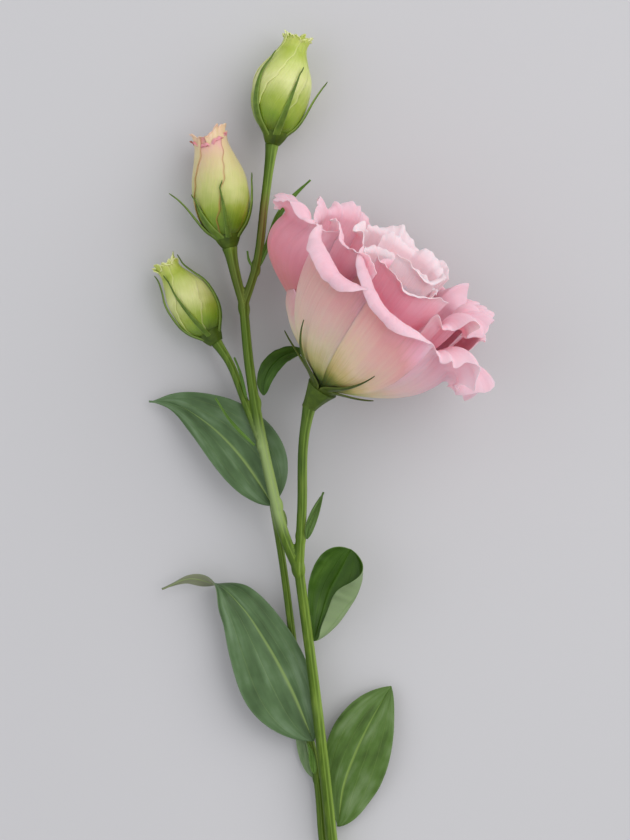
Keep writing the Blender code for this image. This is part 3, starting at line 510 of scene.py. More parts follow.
leaves = {
    "leaf_middle_left": dict(
        route=((-0.0125, -0.025, 0.0118), (-0.0163, -0.0187, 0.0111), (-0.0227, -0.0098, 0.0106),
            (-0.0323, -0.0006, 0.0092), (-0.042, 0.0048, 0.0052), (-0.0491, 0.0055, 0.0026)),
        halfWidths=(0.0078, 0.0128), outline=(0.7, 1.35), fold=8, cup=-14, waves=(1.5, 0.0006), relief=1,
        seed=11,
    ),
    "leaf_lower_left": dict(
        route=((-0.0004, -0.0945, 0.0068), (-0.0068, -0.0792, 0.0076), (-0.0147, -0.0648, 0.0082),
            (-0.0218, -0.0547, 0.0074), (-0.0287, -0.0487, 0.006), (-0.0368, -0.0467, 0.0052),
            (-0.0452, -0.05, 0.003)),
        halfWidths=(0.014, 0.0078), outline=(0.78, 1.95), rightOutline=(0.8, 1.25), roll=(0, 4, 150),
        rollBetween=(0.62, 0.88), fold=5, cup=-6, waves=(1.2, 0.0005), relief=1, seed=12,
    ),
    "leaf_round": dict(
        route=((-0.0004, -0.0646, 0.0124), (0.0016, -0.0582, 0.0117), (0.0043, -0.05, 0.0112),
            (0.0078, -0.0434, 0.0122), (0.0105, -0.0378, 0.0136)),
        halfWidths=(0.0083, 0.015), outline=(1.05, 0.4), rightOutline=(0.8, 0.62), fold=10, cup=18,
        edgeTurn=(14, 172), turnFrom=0.42, turnLean=0.62, relief=1, seed=13,
    ),
    "leaf_lower_right": dict(
        route=((0.0067, -0.1201, 0.0038), (0.0083, -0.1083, 0.0036), (0.012, -0.098, 0.0048),
            (0.0167, -0.0883, 0.005), (0.0225, -0.0787, 0.003)),
        halfWidths=(0.0092, 0.0106), outline=(1.15, 0.85), rightOutline=(0.62, 0.85), fold=3, cup=-6,
        waves=(1.2, 0.0004), relief=1, seed=14,
    ),
    "leaf_behind": dict(
        route=((-0.0002, -0.106, 0.0014), (-0.0018, -0.1, 0.0018), (-0.0034, -0.093, 0.0022),
            (-0.005, -0.0852, 0.002)),
        halfWidths=(0.0028, 0.0028), outline=(0.6, 0.9), relief=0.6,
    ),
    "leaf_slender": dict(
        route=((-0.0001, -0.1043, 0.0058), (-0.0007, -0.1005, 0.0064), (-0.0012, -0.098, 0.0066),
            (-0.0022, -0.0953, 0.0064)),
        halfWidths=(0.0011, 0.0011), outline=(0.5, 0.9), fold=20,
    ),
    "leaf_small": dict(
        route=((-0.0024, -0.0346, 0.0172), (-0.0013, -0.0305, 0.0177), (0.0001, -0.0267, 0.0178),
            (0.0025, -0.021, 0.0167)),
        halfWidths=(0.0015, 0.0015), outline=(0.6, 1.0), fold=22, relief=0.4,
    ),
    "leaf_branch": dict(
        route=((-0.015, 0.0072, 0.0142), (-0.0148, 0.011, 0.0144), (-0.0128, 0.0155, 0.0136),
            (-0.009, 0.0188, 0.0118), (-0.0035, 0.0206, 0.0092)),
        halfWidths=(0.003, 0.003), outline=(0.6, 0.6), fold=14, roll=(0, -12, -30), relief=0.6,
    ),
    "leaf_narrow": dict(
        route=((-0.0163, 0.045, 0.0114), (-0.0137, 0.0518, 0.011), (-0.0101, 0.061, 0.0101),
            (-0.0054, 0.0666, 0.01), (-0.0013, 0.0704, 0.0106)),
        halfWidths=(0.001, 0.001), outline=(0.4, 0.7), fold=20,
    ),
    "bract_upper": dict(
        route=((-0.0185, 0.045, 0.0118), (-0.0194, 0.047, 0.0121), (-0.0198, 0.0495, 0.0122)),
        halfWidths=(0.0004, 0.0004), outline=(0.4, 0.8),
    ),
    "bract_branch": dict(
        route=((-0.02, 0.0064, 0.014), (-0.0208, 0.0095, 0.0143), (-0.0219, 0.014, 0.0142),
            (-0.0236, 0.0183, 0.0138)),
        halfWidths=(0.0005, 0.0005), outline=(0.4, 0.8),
    ),
    "bract_left": dict(
        route=((-0.0176, -0.0074, 0.0152), (-0.0216, -0.0036, 0.0152), (-0.025, 0.0002, 0.0146),
            (-0.0291, 0.0064, 0.0132)),
        halfWidths=(0.0005, 0.0005), outline=(0.4, 0.8), fold=15,
    ),
}


leafSkin = dict(
    Specular_IOR_Level=0.28, Subsurface_Weight=0.08, Subsurface_Radius=(0.5, 1.0, 0.2),
    Subsurface_Scale=0.0005,
)


# A leaf's finish: clouds and waxy patches between three greens, whose palest is partly painted sheen, a midrib
# that is broad at the leaf's foot, and faint nerves that run from the base towards the tip. The underside has a
# colour of its own.
def leafPaint(name, dark, middle, pale, vein, under):
    paint = Paint(name, **leafSkin)
    across, along = paint.sheetPlace()
    out = abs(across)
    cloud = paint.noise(paint.vector(across * 2.4 + along * 0.8, along * 2.2))
    waxSheen = paint.noise(paint.place(90))
    grain = paint.noise(paint.place(2200), 2.0)
    # where clouds and waxy patches run high, the palest green stands partly for the leaf's own wax and partly for
    # painted sheen
    top = paint.ramp(cloud * 0.65 + waxSheen * 0.35, ((0.36, dark), (0.50, middle), (0.68, pale)))
    rib = 1 - out.step(0.012, 0.090 - along * 0.055)
    nerve = (out**0.8 * 3.2 + along * 0.5) % 1
    veins = (1 - abs(nerve - 0.5).step(0.0, 0.07)) * out.step(0.04, 0.16) * out.step(0.95, 0.6)
    top = paint.mix(veins * 0.10, top, vein)
    top = paint.mix(rib * (0.80 - along * 0.60), top, vein)
    top = paint.mix(out.step(0.94, 1.0) * 0.35, top, pale)
    below = paint.mix(veins * 0.25 + rib * 0.5, under, vein)
    colour = paint.mix(paint.attribute("side"), top, below)
    relief = grain * 0.25 - veins * 0.9 - rib * 0.6
    return paint.finish(colour, 0.40 + cloud * 0.16 + rib * 0.06, relief, 0.0001, 0.6)


greyLeaf = leafPaint("greyLeaf", "3c5530", "536f46", "768f6e", "95ae62", "80866a")
lowLeaf = leafPaint("lowLeaf", "375018", "4f6e2c", "71895a", "92ac54", "80866a")
darkLeaf = leafPaint("darkLeaf", "2a4804", "36580c", "4c6e22", "4e7424", "7f9468")
youngLeaf = leafPaint("youngLeaf", "3f6018", "527826", "7a9c4a", "8cac5a", "7c9650")
# a lighter leaf paint for leaf_behind, painted pale to make up for the shadow that the leaf above casts on it
litLeaf = leafPaint("litLeaf", "5c7a4a", "7c9668", "98ac86", "a8bc7c", "80866a")
leafWear = dict(
    leaf_round=darkLeaf, leaf_branch=darkLeaf, leaf_middle_left=greyLeaf, leaf_lower_left=greyLeaf,
    leaf_lower_right=lowLeaf, leaf_small=lowLeaf, leaf_behind=litLeaf,
)

for name, leaf in leaves.items():
    wide = max(leaf["halfWidths"]) > leafLook["wideFrom"]
    grid = leafLook["wideGrid"] if wide else leafLook["narrowGrid"]
    piece = thinSheet("fresh_" + name, partial(leafSurface, leaf), *grid, leafLook["thickness"], crowd=1.2)
    wear(piece, leafWear.get(name, youngLeaf), "leaf_green", name)
print("leaves and bracts:", len(leaves))


def axilShape(share, angle):  # a small pointed bud: a half wave of radius, drawn out to a tip
    radius = 0.00070 * np.sin(math.pi * share) ** 0.6 * (1 - 0.35 * share) + 1e-5
    return radius, 0.0026 * (2 * share - 1), 360 * angle


axilBud = turned("freshAxilBud", np.array((-0.0088, -0.0286, 0.0146)), (0.25, -0.97, 0.05), axilShape, 14, 18)
oliveBrown = Paint("oliveBrown", Roughness=0.5)
oliveBrown.send(oliveBrown.mottle("4f6a22", "748a3c", 1500, 500, 1500)[1], "Base Color")
wear(axilBud, oliveBrown.material, "stem_green", "axil_bud")


# The open bloom: its seat and the way that it faces
bloomSeat = np.array((0.0003, 0.0066, 0.0216))
bloomAxis = np.array((0.545, 0.779, 0.309))
lipStart = 0.84
petalThickness = 0.00034
# the cup's curves: radius and height at the foot, then two handles as shares of the rim's radius and height
outerBelly = (0.0030, 0.0036, 0.14, 0.23, 1.00, 0.30)
lowBelly = (0.0030, 0.0036, 0.13, 0.25, 0.92, 0.42)
bulgedBelly = (0.0030, 0.0036, 0.21, 0.58, 1.20, 0.49)
shortBelly = (0.0030, 0.0036, 0.16, 0.36, 1.00, 0.52)
middleBelly = (0.0024, 0.0062, 0.17, 0.30, 0.90, 0.42)
innerBelly = (0.0014, 0.0080, 0.20, 0.38, 0.90, 0.55)


# The curve from the bloom's foot to the rim: a cubic curve through radius and height, with its heading.
def cupProfile(belly, rimRadius, rimHeight, body):
    footRadius, footHeight, lowOut, lowUp, highOut, highUp = belly
    radii = (footRadius, lowOut * rimRadius, highOut * rimRadius, rimRadius)
    heights = (footHeight, lowUp * rimHeight, highUp * rimHeight, rimHeight)
    rest = 1 - body
    shares = (rest**3, 3 * body * rest**2, 3 * body**2 * rest, body**3)
    slopes = (rest**2, 2 * body * rest, body**2)

    def curve(values):
        return sum(share * value for share, value in zip(shares, values))

    def trend(values):
        return sum(slope * (values[i + 1] - values[i]) for i, slope in enumerate(slopes))

    return curve(radii), curve(heights), np.arctan2(trend(heights), trend(radii))


# wave lengths along the rim: short waves of the surface, scallops of the outline, and pleats below the rim
petalWaves = dict(short=(0.0062, 0.0036, 0.0023), scallop=(0.008, 0.004, 0.0026), pleat=(0.012, 0.0067))


# A petal: the cup's curve from foot to rim, then a lip that rolls outwards; waves run along the rim, long
# ones low down and short ones only near the edge, both across the surface and in the rim's outline.
def petalSurface(petal, across, along):
    seed = petal["seed"]
    arc = across * math.radians(petal["spread"]) * petal["radius"]
    shortWave = waveSum(arc, petalWaves["short"], seed)
    scallop = waveSum(arc, petalWaves["scallop"], seed + 50)
    reach = along * (1 - petal["corner"] * np.abs(across) ** 3 + petal["frill"] * 9 * scallop * along**6)
    body = np.minimum(reach / lipStart, 1)
    lip = np.maximum(reach - lipStart, 0) / (1 - lipStart)
    rimRadius = petal["radius"] + petal["swirl"] * across + petal["hollow"] * across**2
    rimHeight = petal["height"] + petal["lean"] * across + petal["rise"] * across**2
    radius, height, heading = cupProfile(petal["belly"], rimRadius, rimHeight, body)
    wave = np.sin(petal["waves"] * across + petal["phase"])
    roll = np.radians(petal["roll"] * (1 + petal["rollWave"] * wave))
    turned = heading - roll * lip
    lipLength = petal["lip"] * (1 + petal["lipLean"] * across)
    radius = radius + lipLength * (np.sin(heading) - np.sin(turned)) / roll
    height = height + lipLength * (np.cos(turned) - np.cos(heading)) / roll
    ruffle = petal["ruffle"] * reach**4 * wave + petal["frill"] * reach**9 * shortWave
    radius = radius + ruffle * np.sin(turned)
    height = height - ruffle * np.cos(turned)
    pleat = petal["pleat"] * waveSum(arc * (1.2 - 0.2 * reach), petalWaves["pleat"], seed + 20)
    radius = radius + pleat * np.sin(math.pi * np.clip(body, 0, 1))
    width = petal["footShare"] + (1 - petal["footShare"]) * reach
    angle = petal["azimuth"] + petal["spread"] * across * width
    return around(bloomSeat, bloomAxis, radius, height, angle)


petalColumns = ("azimuth", "spread", "radius", "height", "belly", "lip", "roll", "ruffle", "frill", "phase")
plainPetal = dict(footShare=0.72, swirl=0.0, hollow=0.0, lean=0.0, rise=0.0, corner=0.12, rollWave=0.25,
                  waves=6.0, pleat=0.00028, lipLean=0.0)


def petalOf(*common, **own):  # a plain petal with its common settings, in the columns' order, and its own
    return {**plainPetal, **dict(zip(petalColumns, common)), **own}


bloomPetals = {  # from the outside in; the first six make the outer whorl
    "frontLeftPetal": petalOf(-30, 26, 0.0312, 0.0408, outerBelly, 0.01, 200, 0.0004, 0.0003, 0.0,
                              swirl=-0.0022, hollow=-0.0028, lean=-0.0025, rise=0.0025, rollWave=0.12),
    "frontRightPetal": petalOf(0, 38, 0.028, 0.0408, outerBelly, 0.0085, 190, 0.0004, 0.0003, 1.0,
                               swirl=0.005, hollow=-0.002, lean=-0.005, rise=0.0025, rollWave=0.12),
    "lowRightPetal": petalOf(80, 42, 0.0262, 0.0288, lowBelly, 0.0145, 172, 0.0028, 0.0026, 2.6, swirl=0.0005,
                             lean=-0.0085, rollWave=0.24, waves=8.5),
    "underRightPetal": petalOf(148, 56, 0.03, 0.04, lowBelly, 0.006, 120, 0.0016, 0.001, 0.5, swirl=0.001,
                               waves=7.0),
    "underLeftPetal": petalOf(254, 56, 0.0252, 0.0242, shortBelly, 0.0008, 30, 0.0003, 0.0002, 2.9,
                              hollow=-0.0055, corner=0.1),
    "leftPetal": petalOf(264, 40, 0.0369, 0.0378, bulgedBelly, 0.0094, 190, 0.0014, 0.0018, 1.4, swirl=-0.007,
                         hollow=-0.007, lean=0.007, lipLean=0.06, rollWave=0.15, waves=8.0),
    "innerFrontPetal": petalOf(-48, 36, 0.0245, 0.0465, middleBelly, 0.004, 90, 0.001, 0.0006, 0.4),
    "innerLeftPetal": petalOf(-108, 42, 0.028, 0.044, middleBelly, 0.0058, 110, 0.0014, 0.0012, 2.0),
    "innerRightPetal": petalOf(78, 38, 0.0212, 0.0422, middleBelly, 0.0096, 142, 0.0024, 0.002, 2.5,
                               waves=9.0),
    "innerLowPetal": petalOf(128, 36, 0.024, 0.0395, middleBelly, 0.009, 130, 0.0022, 0.0018, 1.2, waves=8.0),
    "innerUnderPetal": petalOf(186, 38, 0.0235, 0.0452, middleBelly, 0.005, 100, 0.0014, 0.001, 3.1),
    "heartFrontPetal": petalOf(10, 46, 0.0165, 0.045, innerBelly, 0.0035, 90, 0.0006, 0.0006, 0.8,
                               swirl=0.002, rise=0.003, pleat=0.0001),
    "heartRightPetal": petalOf(42, 70, 0.0096, 0.0485, innerBelly, 0.0034, 100, 0.0005, 0.0006, 2.0,
                               rise=0.002, pleat=0.0001),
    "heartBackPetal": petalOf(180, 52, 0.014, 0.047, innerBelly, 0.0045, 90, 0.0008, 0.001, 0.2,
                              pleat=0.0001),
    "heartLeftPetal": petalOf(-84, 36, 0.0165, 0.047, innerBelly, 0.0035, 90, 0.001, 0.0006, 1.1),
}
# small petals wound round the middle of the heart: azimuth, spread, radius, height
corePetals = (
    (236, 66, 0.012, 0.043), (128, 70, 0.0104, 0.0436), (6, 80, 0.0078, 0.043), (228, 90, 0.0058, 0.0428),
    (98, 105, 0.004, 0.0424), (330, 120, 0.0024, 0.042),
)
for number, core in enumerate(corePetals):
    bloomPetals[f"corePetal{number}"] = petalOf(*core, innerBelly, 0.0026, 70, 0.0004, 0.0008, number * 1.3,
                                                pleat=0.00008)


# A petal's finish: colours that run from foot to rim, drawn into streaks and patches by noise, one row of
# them for the inside and one for the back, where outer petals keep the bud's green and cream.
def petalPaint(name, backStops, insideStops):
    paint = Paint(
        name, Roughness=0.55, Specular_IOR_Level=0.3, Subsurface_Weight=0.7, Subsurface_Scale=0.0015,
        Subsurface_Radius=(1.0, 0.55, 0.50), Sheen_Weight=0.06, Sheen_Roughness=0.5,
    )
    across, along = paint.sheetPlace()
    fine = paint.noise(paint.vector(across * 26, along * 2.2))
    broad = paint.noise(paint.place(55))
    shade = along + (fine - 0.5) * 0.14 + (broad - 0.5) * 0.20
    inside, back = paint.ramp(shade, insideStops), paint.ramp(shade, backStops)
    colour = paint.mix(paint.attribute("side"), inside, back)
    return paint.finish(colour, 0.48 + fine * 0.16, fine + broad * 0.4, 0.00035, 0.55)


deepInside = (
    (0.0, "b98a66"), (0.14, "e0667e"), (0.40, "f27f99"), (0.66, "f3a0b4"), (0.86, "f5b6c5"), (1.0, "f8c3cf"),
)
paleInside = ((0.0, "d9a58c"), (0.20, "ec8fa2"), (0.45, "f4b3c0"), (0.70, "f8cdd6"), (1.0, "fadbe1"))
greenToRose = ("3e5208", "5a6a14", "8e9040", "c2b87c", "dec8aa", "dfb9ae", "dca2a3", "f1aec0", "f8c2d0")
creamPlaces = (0.20, 0.27, 0.35, 0.45, 0.57, 0.70, 0.82, 0.93, 1.0)
olivePlaces = (0.24, 0.32, 0.40, 0.49, 0.60, 0.72, 0.83, 0.93, 1.0)
creamBack = petalPaint("creamBackedPetal", tuple(zip(creamPlaces, greenToRose)), deepInside)
oliveBack = petalPaint("oliveFootedPetal", tuple(zip(olivePlaces, greenToRose)), deepInside)
blushBack = petalPaint("blushBackedPetal", (
    (0.12, "3e5208"), (0.20, "7e8430"), (0.30, "aeac5e"), (0.42, "dfc8a2"), (0.56, "f4c6c0"),
    (0.70, "f8bec6"), (0.86, "f9bcca"), (1.0, "fbcfdb"),
), deepInside)
rosyBack = petalPaint("rosyBackedPetal", (
    (0.10, "4a5a12"), (0.20, "9a7a44"), (0.32, "c07e6c"), (0.50, "d27f84"), (0.70, "e28a99"),
    (0.86, "efa0b0"), (1.0, "f8c3cf"),
), deepInside)
innerStops = (
    (0.0, "c9a074"), (0.25, "e86a84"), (0.55, "f48ba1"), (0.76, "f6a6b9"), (0.90, "f7c0cc"), (1.0, "fad4dc"),
)
innerPink = petalPaint("innerPetalPink", innerStops, deepInside)
innerPale = petalPaint("innerPalePetal", innerStops, paleInside)  # deep pink outside and pale inside
heartPink = petalPaint("heartPetalPink", (
    (0.0, "d0a884"), (0.25, "ec9aaa"), (0.50, "f4bcc8"), (0.75, "f9d4dc"), (1.0, "fae0e5"),
), paleInside)
petalWear = dict(  # every other petal is innerPink
    frontLeftPetal=creamBack, frontRightPetal=oliveBack, lowRightPetal=blushBack, underRightPetal=blushBack,
    underLeftPetal=creamBack, leftPetal=rosyBack, innerUnderPetal=innerPale, heartFrontPetal=innerPale,
    heartRightPetal=heartPink, heartBackPetal=heartPink, heartLeftPetal=innerPale, corePetal0=heartPink,
    corePetal1=heartPink,
)
for count, (name, petal) in enumerate(bloomPetals.items()):
    surface = partial(petalSurface, {**petal, "seed": 100 + count})
    piece = thinSheet(name, surface, 110, 90, petalThickness, crowd=1.7)
    wear(piece, petalWear.get(name, innerPink), "petal_pink", "bloom_corolla")
print("bloom petals:", len(bloomPetals))


def tubeShape(share, angle):  # the short tube that joins the petals at the foot: a rounded cone up into them
    radius = 0.0004 + 0.0046 * np.sin(math.pi * np.clip(share, 0, 1) * 0.62) ** 0.7
    return radius, 0.0036 + 0.0075 * share, 360 * angle


tubePaint = Paint("petalTube", Roughness=0.5)
tubePaint.send(tubePaint.mottle("6f8c2c", "98a652", 400)[1], "Base Color")
tube = turned("petalTube", bloomSeat, bloomAxis, tubeShape, 20, 48)
wear(tube, tubePaint.material, "petal_pink", "bloom_corolla")


# Calyxes: a cup and five sepals each
calyxLook = dict(thickness=0.00042, keel=0.00035, columns=17, rows=70)
cupLook = dict(rings=30, sides=80, ridge=0.00025, ridgeTurn=13, rimFrom=0.93, rimIn=0.75)
# azimuth, drift, length as a share of the cup's curve, flare, and the curve's radius and height
bloomSepals = (
    (-76, 0, 0.5, 0.0004, 0.0325, 0.04),
    (-34, 4, 0.78, 0.0005, 0.0325, 0.0408),
    (13, 8, 0.77, 0.0008, 0.0306, 0.0395),
    (36, 4, 0.57, 0.0006, 0.032, 0.039),
    (168, 0, 0.5, 0.0004, 0.0345, 0.042),
)
bloomSepal = dict(clearance=0.0007, halfWidth=0.0019, start=(0.0028, 0.0004))
budSepal = dict(clearance=0.0004, halfWidth=0.0014, start=(0.0022, -0.0006), hook=7)


def sepalOutline(along):  # broad low down and drawn out to a fine point
    return 0.04 + 0.96 * (1 - along) ** 1.5 * (0.9 + 0.9 * along)


def fromFoot(start, radius, height, along):  # a sepal's start is drawn in to the foot that carries it
    mix = softStep(along / 0.14)
    return start[0] * (1 - mix) + radius * mix, start[1] * (1 - mix) + height * mix


def keelOf(across, along):  # a ridge down the middle of the sepal's back
    return calyxLook["keel"] * (1 - np.abs(across)) ** 1.3 * (1 - along) ** 0.5


# A sepal of the bloom: the cup's own curve a little further out, so that it lies on the petals.
def bloomSepalSurface(sepal, across, along):
    azimuth, drift, length, flare, over, tall = sepal
    radius, height, heading = cupProfile(outerBelly, over, tall, along * length)
    out = bloomSepal["clearance"] + flare * along**4 + keelOf(across, along)
    radius = radius + out * np.sin(heading)
    height = height - out * np.cos(heading)
    radius, height = fromFoot(bloomSepal["start"], radius, height, along)
    half = bloomSepal["halfWidth"] * sepalOutline(along)
    angle = azimuth + drift * along + np.degrees(half * across / radius)
    return around(bloomSeat, bloomAxis, radius, height, angle)


# A sepal's finish: two greens mixed by noise, another towards its side edges and another towards its tip.
def sepalPaint(name, dark, pale, edge, tip):
    paint = Paint(name, **leafSkin)
    across, along = paint.sheetPlace()
    mottle, green = paint.mottle(dark, pale, 500)
    green = paint.mix(abs(across).step(0.55, 0.95) * 0.5, green, edge)
    green = paint.mix(along.step(0.6, 1.0) * 0.4, green, tip)
    return paint.finish(green, 0.4 + mottle * 0.14, mottle, 0.0001, 0.4)


def cupPaint():  # two dark greens mixed by noise
    paint = Paint("calyxCup", **{**leafSkin, "Subsurface_Weight": 0.10, "Subsurface_Scale": 0.0006})
    mottle, green = paint.mottle("34480a", "526a14", 420)
    return paint.finish(green, 0.4 + mottle * 0.14, mottle, 0.0001, 0.4)


sepalGreen = sepalPaint("sepalGreen", "486218", "67842c", "94ac54", "3a5018")
darkSepal = sepalPaint("darkSepalOlive", "35450c", "50621c", "74823a", "303c10")
calyxCupGreen = cupPaint()


def makeSepal(name, surface, paint, node):  # a thin sheet on the calyx's own grid
    grid = calyxLook["columns"], calyxLook["rows"]
    wear(thinSheet(name, surface, *grid, calyxLook["thickness"], crowd=1.1), paint, "calyx_green", node)


# A calyx's cup: a funnel from the stalk out to the petals that closes in at its rim, with a ridge like a bell
# curve under each sepal. Low and high are its radius and height at each end.
def makeCup(name, seat, axis, azimuths, low, high, spread, node):
    def shape(share, angle):
        turns = [(360 * angle - azimuth + 180) % 360 - 180 for azimuth in azimuths]
        ridge = sum(np.exp(-((turn / cupLook["ridgeTurn"]) ** 2)) for turn in turns)
        radius = low[0] + (high[0] - low[0]) * share**spread
        radius = radius + cupLook["ridge"] * ridge * np.sin(math.pi * share)
        rim = softStep((share - cupLook["rimFrom"]) / (1 - cupLook["rimFrom"]))
        return radius * (1 - cupLook["rimIn"] * rim), low[1] + (high[1] - low[1]) * share, 360 * angle

    cup = turned(name, seat, axis, shape, cupLook["rings"], cupLook["sides"])
    wear(cup, calyxCupGreen, "calyx_green", node)


for count, sepal in enumerate(bloomSepals):
    makeSepal(f"bloomSepal{count}", partial(bloomSepalSurface, sepal), darkSepal, "bloom_calyx")
azimuths = [sepal[0] for sepal in bloomSepals]
foot, rim = (0.0021, -0.0042), (0.005, 0.004)
makeCup("bloomCalyxCup", bloomSeat, bloomAxis, azimuths, foot, rim, 1.5, "bloom_calyx")
print("bloom calyx done")


# Buds: a sepal is its azimuth, drift, length as a share of the bud's, flare, and width as a share of a plain one
buds = {
    "top_bud": dict(
        seat=np.array((-0.0122, 0.0824, 0.01)), axis=np.array((0.237, 0.971, 0.0)), length=0.0318,
        halfWidth=0.0081, twist=95, turn=20, topWidth=0.42, seed=3, bow=-0.0014,
        tips=(0.0014, 0.0004, 0.0018, 0.0008, 0.0012),
        sepals=((-50, 2, 0.78, 0.0004, 1.3), (12, 22, 0.68, 0.0008, 0.9), (78, 6, 0.62, 0.005, 0.9),
                (150, 10, 0.6, 0.001, 1.0), (222, 10, 0.6, 0.001, 1.0)),
    ),
    "pink_bud": dict(
        seat=np.array((-0.0252, 0.052, 0.0111)), axis=np.array((-0.186, 0.982, -0.02)), length=0.033,
        halfWidth=0.008, twist=70, turn=60, topWidth=0.58, seed=5, bow=0.0004,
        tips=(0.0006, 0.0006, 0.002, -0.0028, 0.0034),
        sepals=((-80, -6, 0.52, 0.0066, 1.2), (-42, -18, 0.46, 0.0006, 1.4), (4, -4, 0.52, 0.0006, 0.7),
                (72, 4, 0.56, 0.0018, 1.0), (170, 0, 0.55, 0.001, 1.0)),
    ),
    "left_bud": dict(
        seat=np.array((-0.0298, 0.0241, 0.0086)), axis=np.array((-0.546, 0.837, -0.03)), length=0.0266,
        halfWidth=0.0065, twist=95, turn=0, topWidth=0.46, seed=8, bow=0.0004,
        tips=(0.0026, 0.0012, 0.0018, 0.0022, 0.001),
        sepals=((-84, 0, 0.92, 0.0012, 0.9), (-14, -16, 0.86, 0.0004, 0.6), (74, 0, 0.98, 0.001, 0.9),
                (140, 0, 0.7, 0.001, 1.0), (214, 0, 0.7, 0.001, 1.0)),
    ),
}
budLook = dict(
    petals=5, spread=66, lap=0.044, edgeWave=3.8, thickness=0.0004, columns=50, rows=90, foot=0.0016,
    profileEnd=0.93, tipFrom=0.8, tipWave=0.0008, coreEnd=0.88, coreShare=0.93, coreRipple=0.0004, coreDip=0.0022,
    cupTop=0.0026,
)


def budProfile(bud):  # radius and height of the bud's outline from its foot to its tips
    wide, long, top = bud["halfWidth"], bud["length"], bud["topWidth"]
    shares = ((0.36, 0.0), (0.67, 0.08), (0.90, 0.20), (1.0, 0.37), (0.94, 0.56), (0.35 + 0.66 * top, 0.74),
              (top + 0.02, 0.87), (top, 0.96))
    foot = budLook["foot"]
    return np.array([(wide * out, foot + (long - foot) * up) for out, up in shares])


# Cylinder coordinates round the bud's middle line, which bows to one side between its foot and its tips.
def roundBud(bud, radius, height, degrees):
    places = around(bud["seat"], bud["axis"], radius, height, degrees)
    bow = bud["bow"] * np.sin(math.pi * np.clip(height / bud["length"], 0, 1))
    return places + bow[:, None] * facing(bud["axis"])[2]


def budRadius(bud, height):  # the outline's radius at a height, read between its smoothed points
    smooth = smoothRoute(budProfile(bud), np.linspace(0, 1, 80))
    return np.interp(height, smooth[:, 1], smooth[:, 0])


# A bud's petal: it lies on the bud's outline and twists round it; one edge lies outside its neighbour and the
# other inside, and the tip stands up and curls a little out.
def budPetalSurface(bud, number, across, along):
    profile = smoothRoute(budProfile(bud), np.clip(along / budLook["profileEnd"], 0, 1))
    tip = softStep((along - budLook["tipFrom"]) / (1 - budLook["tipFrom"]))
    wave = waveSum(across * 0.008, (0.0052, 0.0029), bud["seed"] + number)
    radius = profile[:, 0] * (1 + budLook["lap"] * across) * (1 - 0.10 * tip * (1 - np.abs(across)))
    radius = radius + tip**2 * (0.0007 * wave + budLook["tipWave"])
    point = 1 - np.abs(across) ** 1.6
    height = profile[:, 1] + tip * (bud["tips"][number] * point + budLook["tipWave"] * (wave - 1))
    width = budLook["spread"] * (0.80 + 0.20 * along)
    degrees = 360 / budLook["petals"] * number + bud["turn"] + bud["twist"] * along + width * across
    degrees = degrees + budLook["edgeWave"] * waveSum(along * 0.03, (0.0075, 0.0038), number) * across**4
    return roundBud(bud, radius, height, degrees)


# The body of the wrapped petals under the outer ones, rippled near the top and dipped in there.
def coreShape(bud, share, angle):
    outer = np.clip(share / budLook["coreEnd"], 0, 1)
    profile = smoothRoute(budProfile(bud), outer)
    dip = softStep((share - budLook["coreEnd"]) / (1 - budLook["coreEnd"]))
    radius = profile[:, 0] * budLook["coreShare"] * (1 - budLook["coreShare"] * dip)
    ripple = np.sin(budLook["petals"] * fullTurn * angle + 6 * share) * softStep((share - 0.6) / 0.3)
    height = profile[:, 1] * 0.99 - budLook["coreDip"] * dip
    return radius + budLook["coreRipple"] * ripple, height, 360 * angle + bud["twist"] * outer


# A bud's sepal: a narrow blade that follows the bud's outline and flares and turns at its tip.
def budSepalSurface(bud, sepal, across, along):
    azimuth, drift, length, flare, wide = sepal
    height = 0.0004 + along * bud["length"] * length
    radius = budRadius(bud, height) * 1.035 + budSepal["clearance"] + flare * along**3 + keelOf(across, along)
    radius, height = fromFoot(budSepal["start"], radius, height, along)
    half = budSepal["halfWidth"] * wide * sepalOutline(along)
    degrees = azimuth + drift * along + np.degrees(half * across / radius)
    degrees = degrees + math.copysign(budSepal["hook"], azimuth) * softStep((along - 0.86) / 0.14)
    return roundBud(bud, radius, height, degrees)


# A bud petal's finish: colours that run from foot to tip, drawn into streaks and clouds, and another at the
# edge that lies outside its neighbour.
def budPaint(name, stops, edge, edgeStrength):
    paint = Paint(name, Specular_IOR_Level=0.55, Subsurface_Weight=0.25, Subsurface_Radius=(0.8, 1.0, 0.4),
                  Subsurface_Scale=0.0012)
    across, along = paint.sheetPlace()
    streak = paint.noise(paint.vector(across * 18, along * 2.5))
    cloud = paint.noise(paint.place(150), 2.0)
    skin = paint.ramp(along + (streak - 0.5) * 0.12 + (cloud - 0.5) * 0.25, stops)
    skin = paint.mix(across.step(0.90, 1.0) * edgeStrength, skin, edge)
    return paint.finish(skin, 0.27 + streak * 0.14, streak + cloud * 1.5, 0.0003, 0.6)


# the pale stop at half height, brighter than the stops just above and below it, is a painted highlight round the
# bud
greenBud = budPaint("greenBudPetal", (
    (0.0, "4c6408"), (0.14, "78981a"), (0.30, "98ac36"), (0.50, "d6dc90"), (0.66, "c4d074"),
    (0.80, "a6b83c"), (0.92, "c0cc60"), (1.0, "e4eaa4"),
), "e2e8a0", 0.5)
creamFoot = ((0.0, "4c6408"), (0.14, "6a8a10"), (0.28, "94a832"), (0.44, "c2c676"))
creamBud = budPaint("creamBudPetal", (
    *creamFoot, (0.60, "d4c88e"), (0.76, "dcbc9a"), (0.88, "e6aca8"), (1.0, "e08a9a"),
), "a8643a", 0.65)
creamSideBud = budPaint("creamSideBudPetal", (
    *creamFoot, (0.60, "d0c88a"), (0.78, "dccb98"), (0.90, "e4c8a2"), (1.0, "e8c0a6"),
), "a8643a", 0.65)

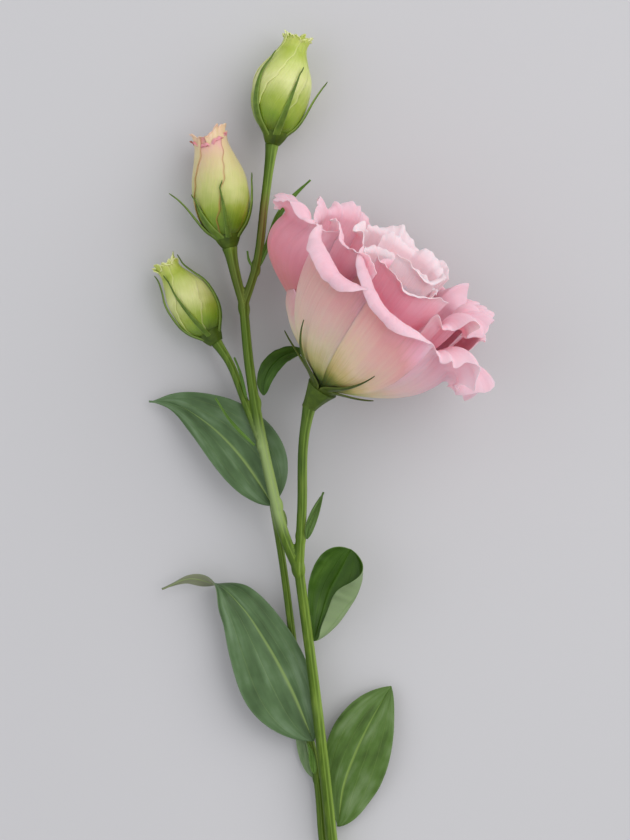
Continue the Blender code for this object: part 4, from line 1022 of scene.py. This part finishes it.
for name, bud in buds.items():
    seat, axis = bud["seat"], bud["axis"]
    pink = name == "pink_bud"
    skin, slot = (creamBud, "bud_cream") if pink else (greenBud, "bud_green")
    corolla, calyx, label = name + "_corolla", name + "_calyx", name.replace("_bud", "Bud")
    wear(turned(label + "Core", seat, axis, partial(coreShape, bud), 60, 60), skin, slot, corolla)
    for number in range(budLook["petals"]):
        surface = partial(budPetalSurface, bud, number)
        grid = budLook["columns"], budLook["rows"]
        piece = thinSheet(f"{label}Petal{number}", surface, *grid, budLook["thickness"], crowd=1.3)
        wear(piece, creamSideBud if pink and number in (2, 4) else skin, slot, corolla)
    for number, sepal in enumerate(bud["sepals"]):
        makeSepal(f"{label}Sepal{number}", partial(budSepalSurface, bud, sepal), sepalGreen, calyx)
    azimuths = [sepal[0] for sepal in bud["sepals"]]
    rim = (budRadius(bud, budLook["cupTop"]) + 0.0002, budLook["cupTop"])
    foot = (0.0021, -budLook["foot"])
    makeCup(label + "CalyxCup", seat, axis, azimuths, foot, rim, 0.9, calyx)
print("buds:", len(buds))


# Floor, light and camera
floorLook = dict(half=4.0, below=0.0002, colour="c6c6c9")
skyLook = dict(colour=(0.93, 0.93, 0.95, 1), strength=0.67)
cameraLook = dict(height=0.9, lens=130, sensor=36, near=0.01, far=20)
lampAim = (0, 0.03, 0.02)
lamps = {  # place, width of the soft box, power, colour
    "keyLamp": ((0.80, 0.50, 0.95), 1.5, 11.8, (1.0, 0.985, 0.96)),
    "fillLamp": ((-0.9, 0.1, 0.9), 1.0, 2.0, (0.95, 0.97, 1.0)),
}

half, low = floorLook["half"], -floorLook["below"]
floorMesh = bpy.data.meshes.new("paleFloor")
floorMesh.from_pydata(
    [(-half, -half, low), (half, -half, low), (half, half, low), (-half, half, low)], [], [(0, 1, 2, 3)],
)
floor = newObject("paleFloor", floorMesh)
floorPaint = Paint("paleFloorPaint", Roughness=0.9, Base_Color=light(floorLook["colour"]))
floor.data.materials.append(floorPaint.material)

scene = bpy.context.scene
scene.world = bpy.data.worlds.new("softSky")
scene.world.use_nodes = True
sky = scene.world.node_tree.nodes["Background"].inputs
sky["Color"].default_value, sky["Strength"].default_value = skyLook["colour"], skyLook["strength"]

for name, (place, width, power, colour) in lamps.items():
    lamp = bpy.data.lights.new(name, "AREA")
    lamp.energy, lamp.size, lamp.color = power, width, colour
    holder = newObject(name, lamp)
    holder.location = place
    holder.rotation_euler = (Vector(lampAim) - Vector(place)).to_track_quat("-Z", "Y").to_euler()

eye = bpy.data.cameras.new("photoCamera")
eye.lens, eye.sensor_width = cameraLook["lens"], cameraLook["sensor"]
eye.clip_start, eye.clip_end = cameraLook["near"], cameraLook["far"]
scene.camera = newObject("photoCamera", eye)
scene.camera.location = (plantShift[0], plantShift[1], cameraLook["height"])
scene.view_settings.view_transform = "Standard"
scene.cycles.use_denoising = True

bpy.context.view_layer.update()
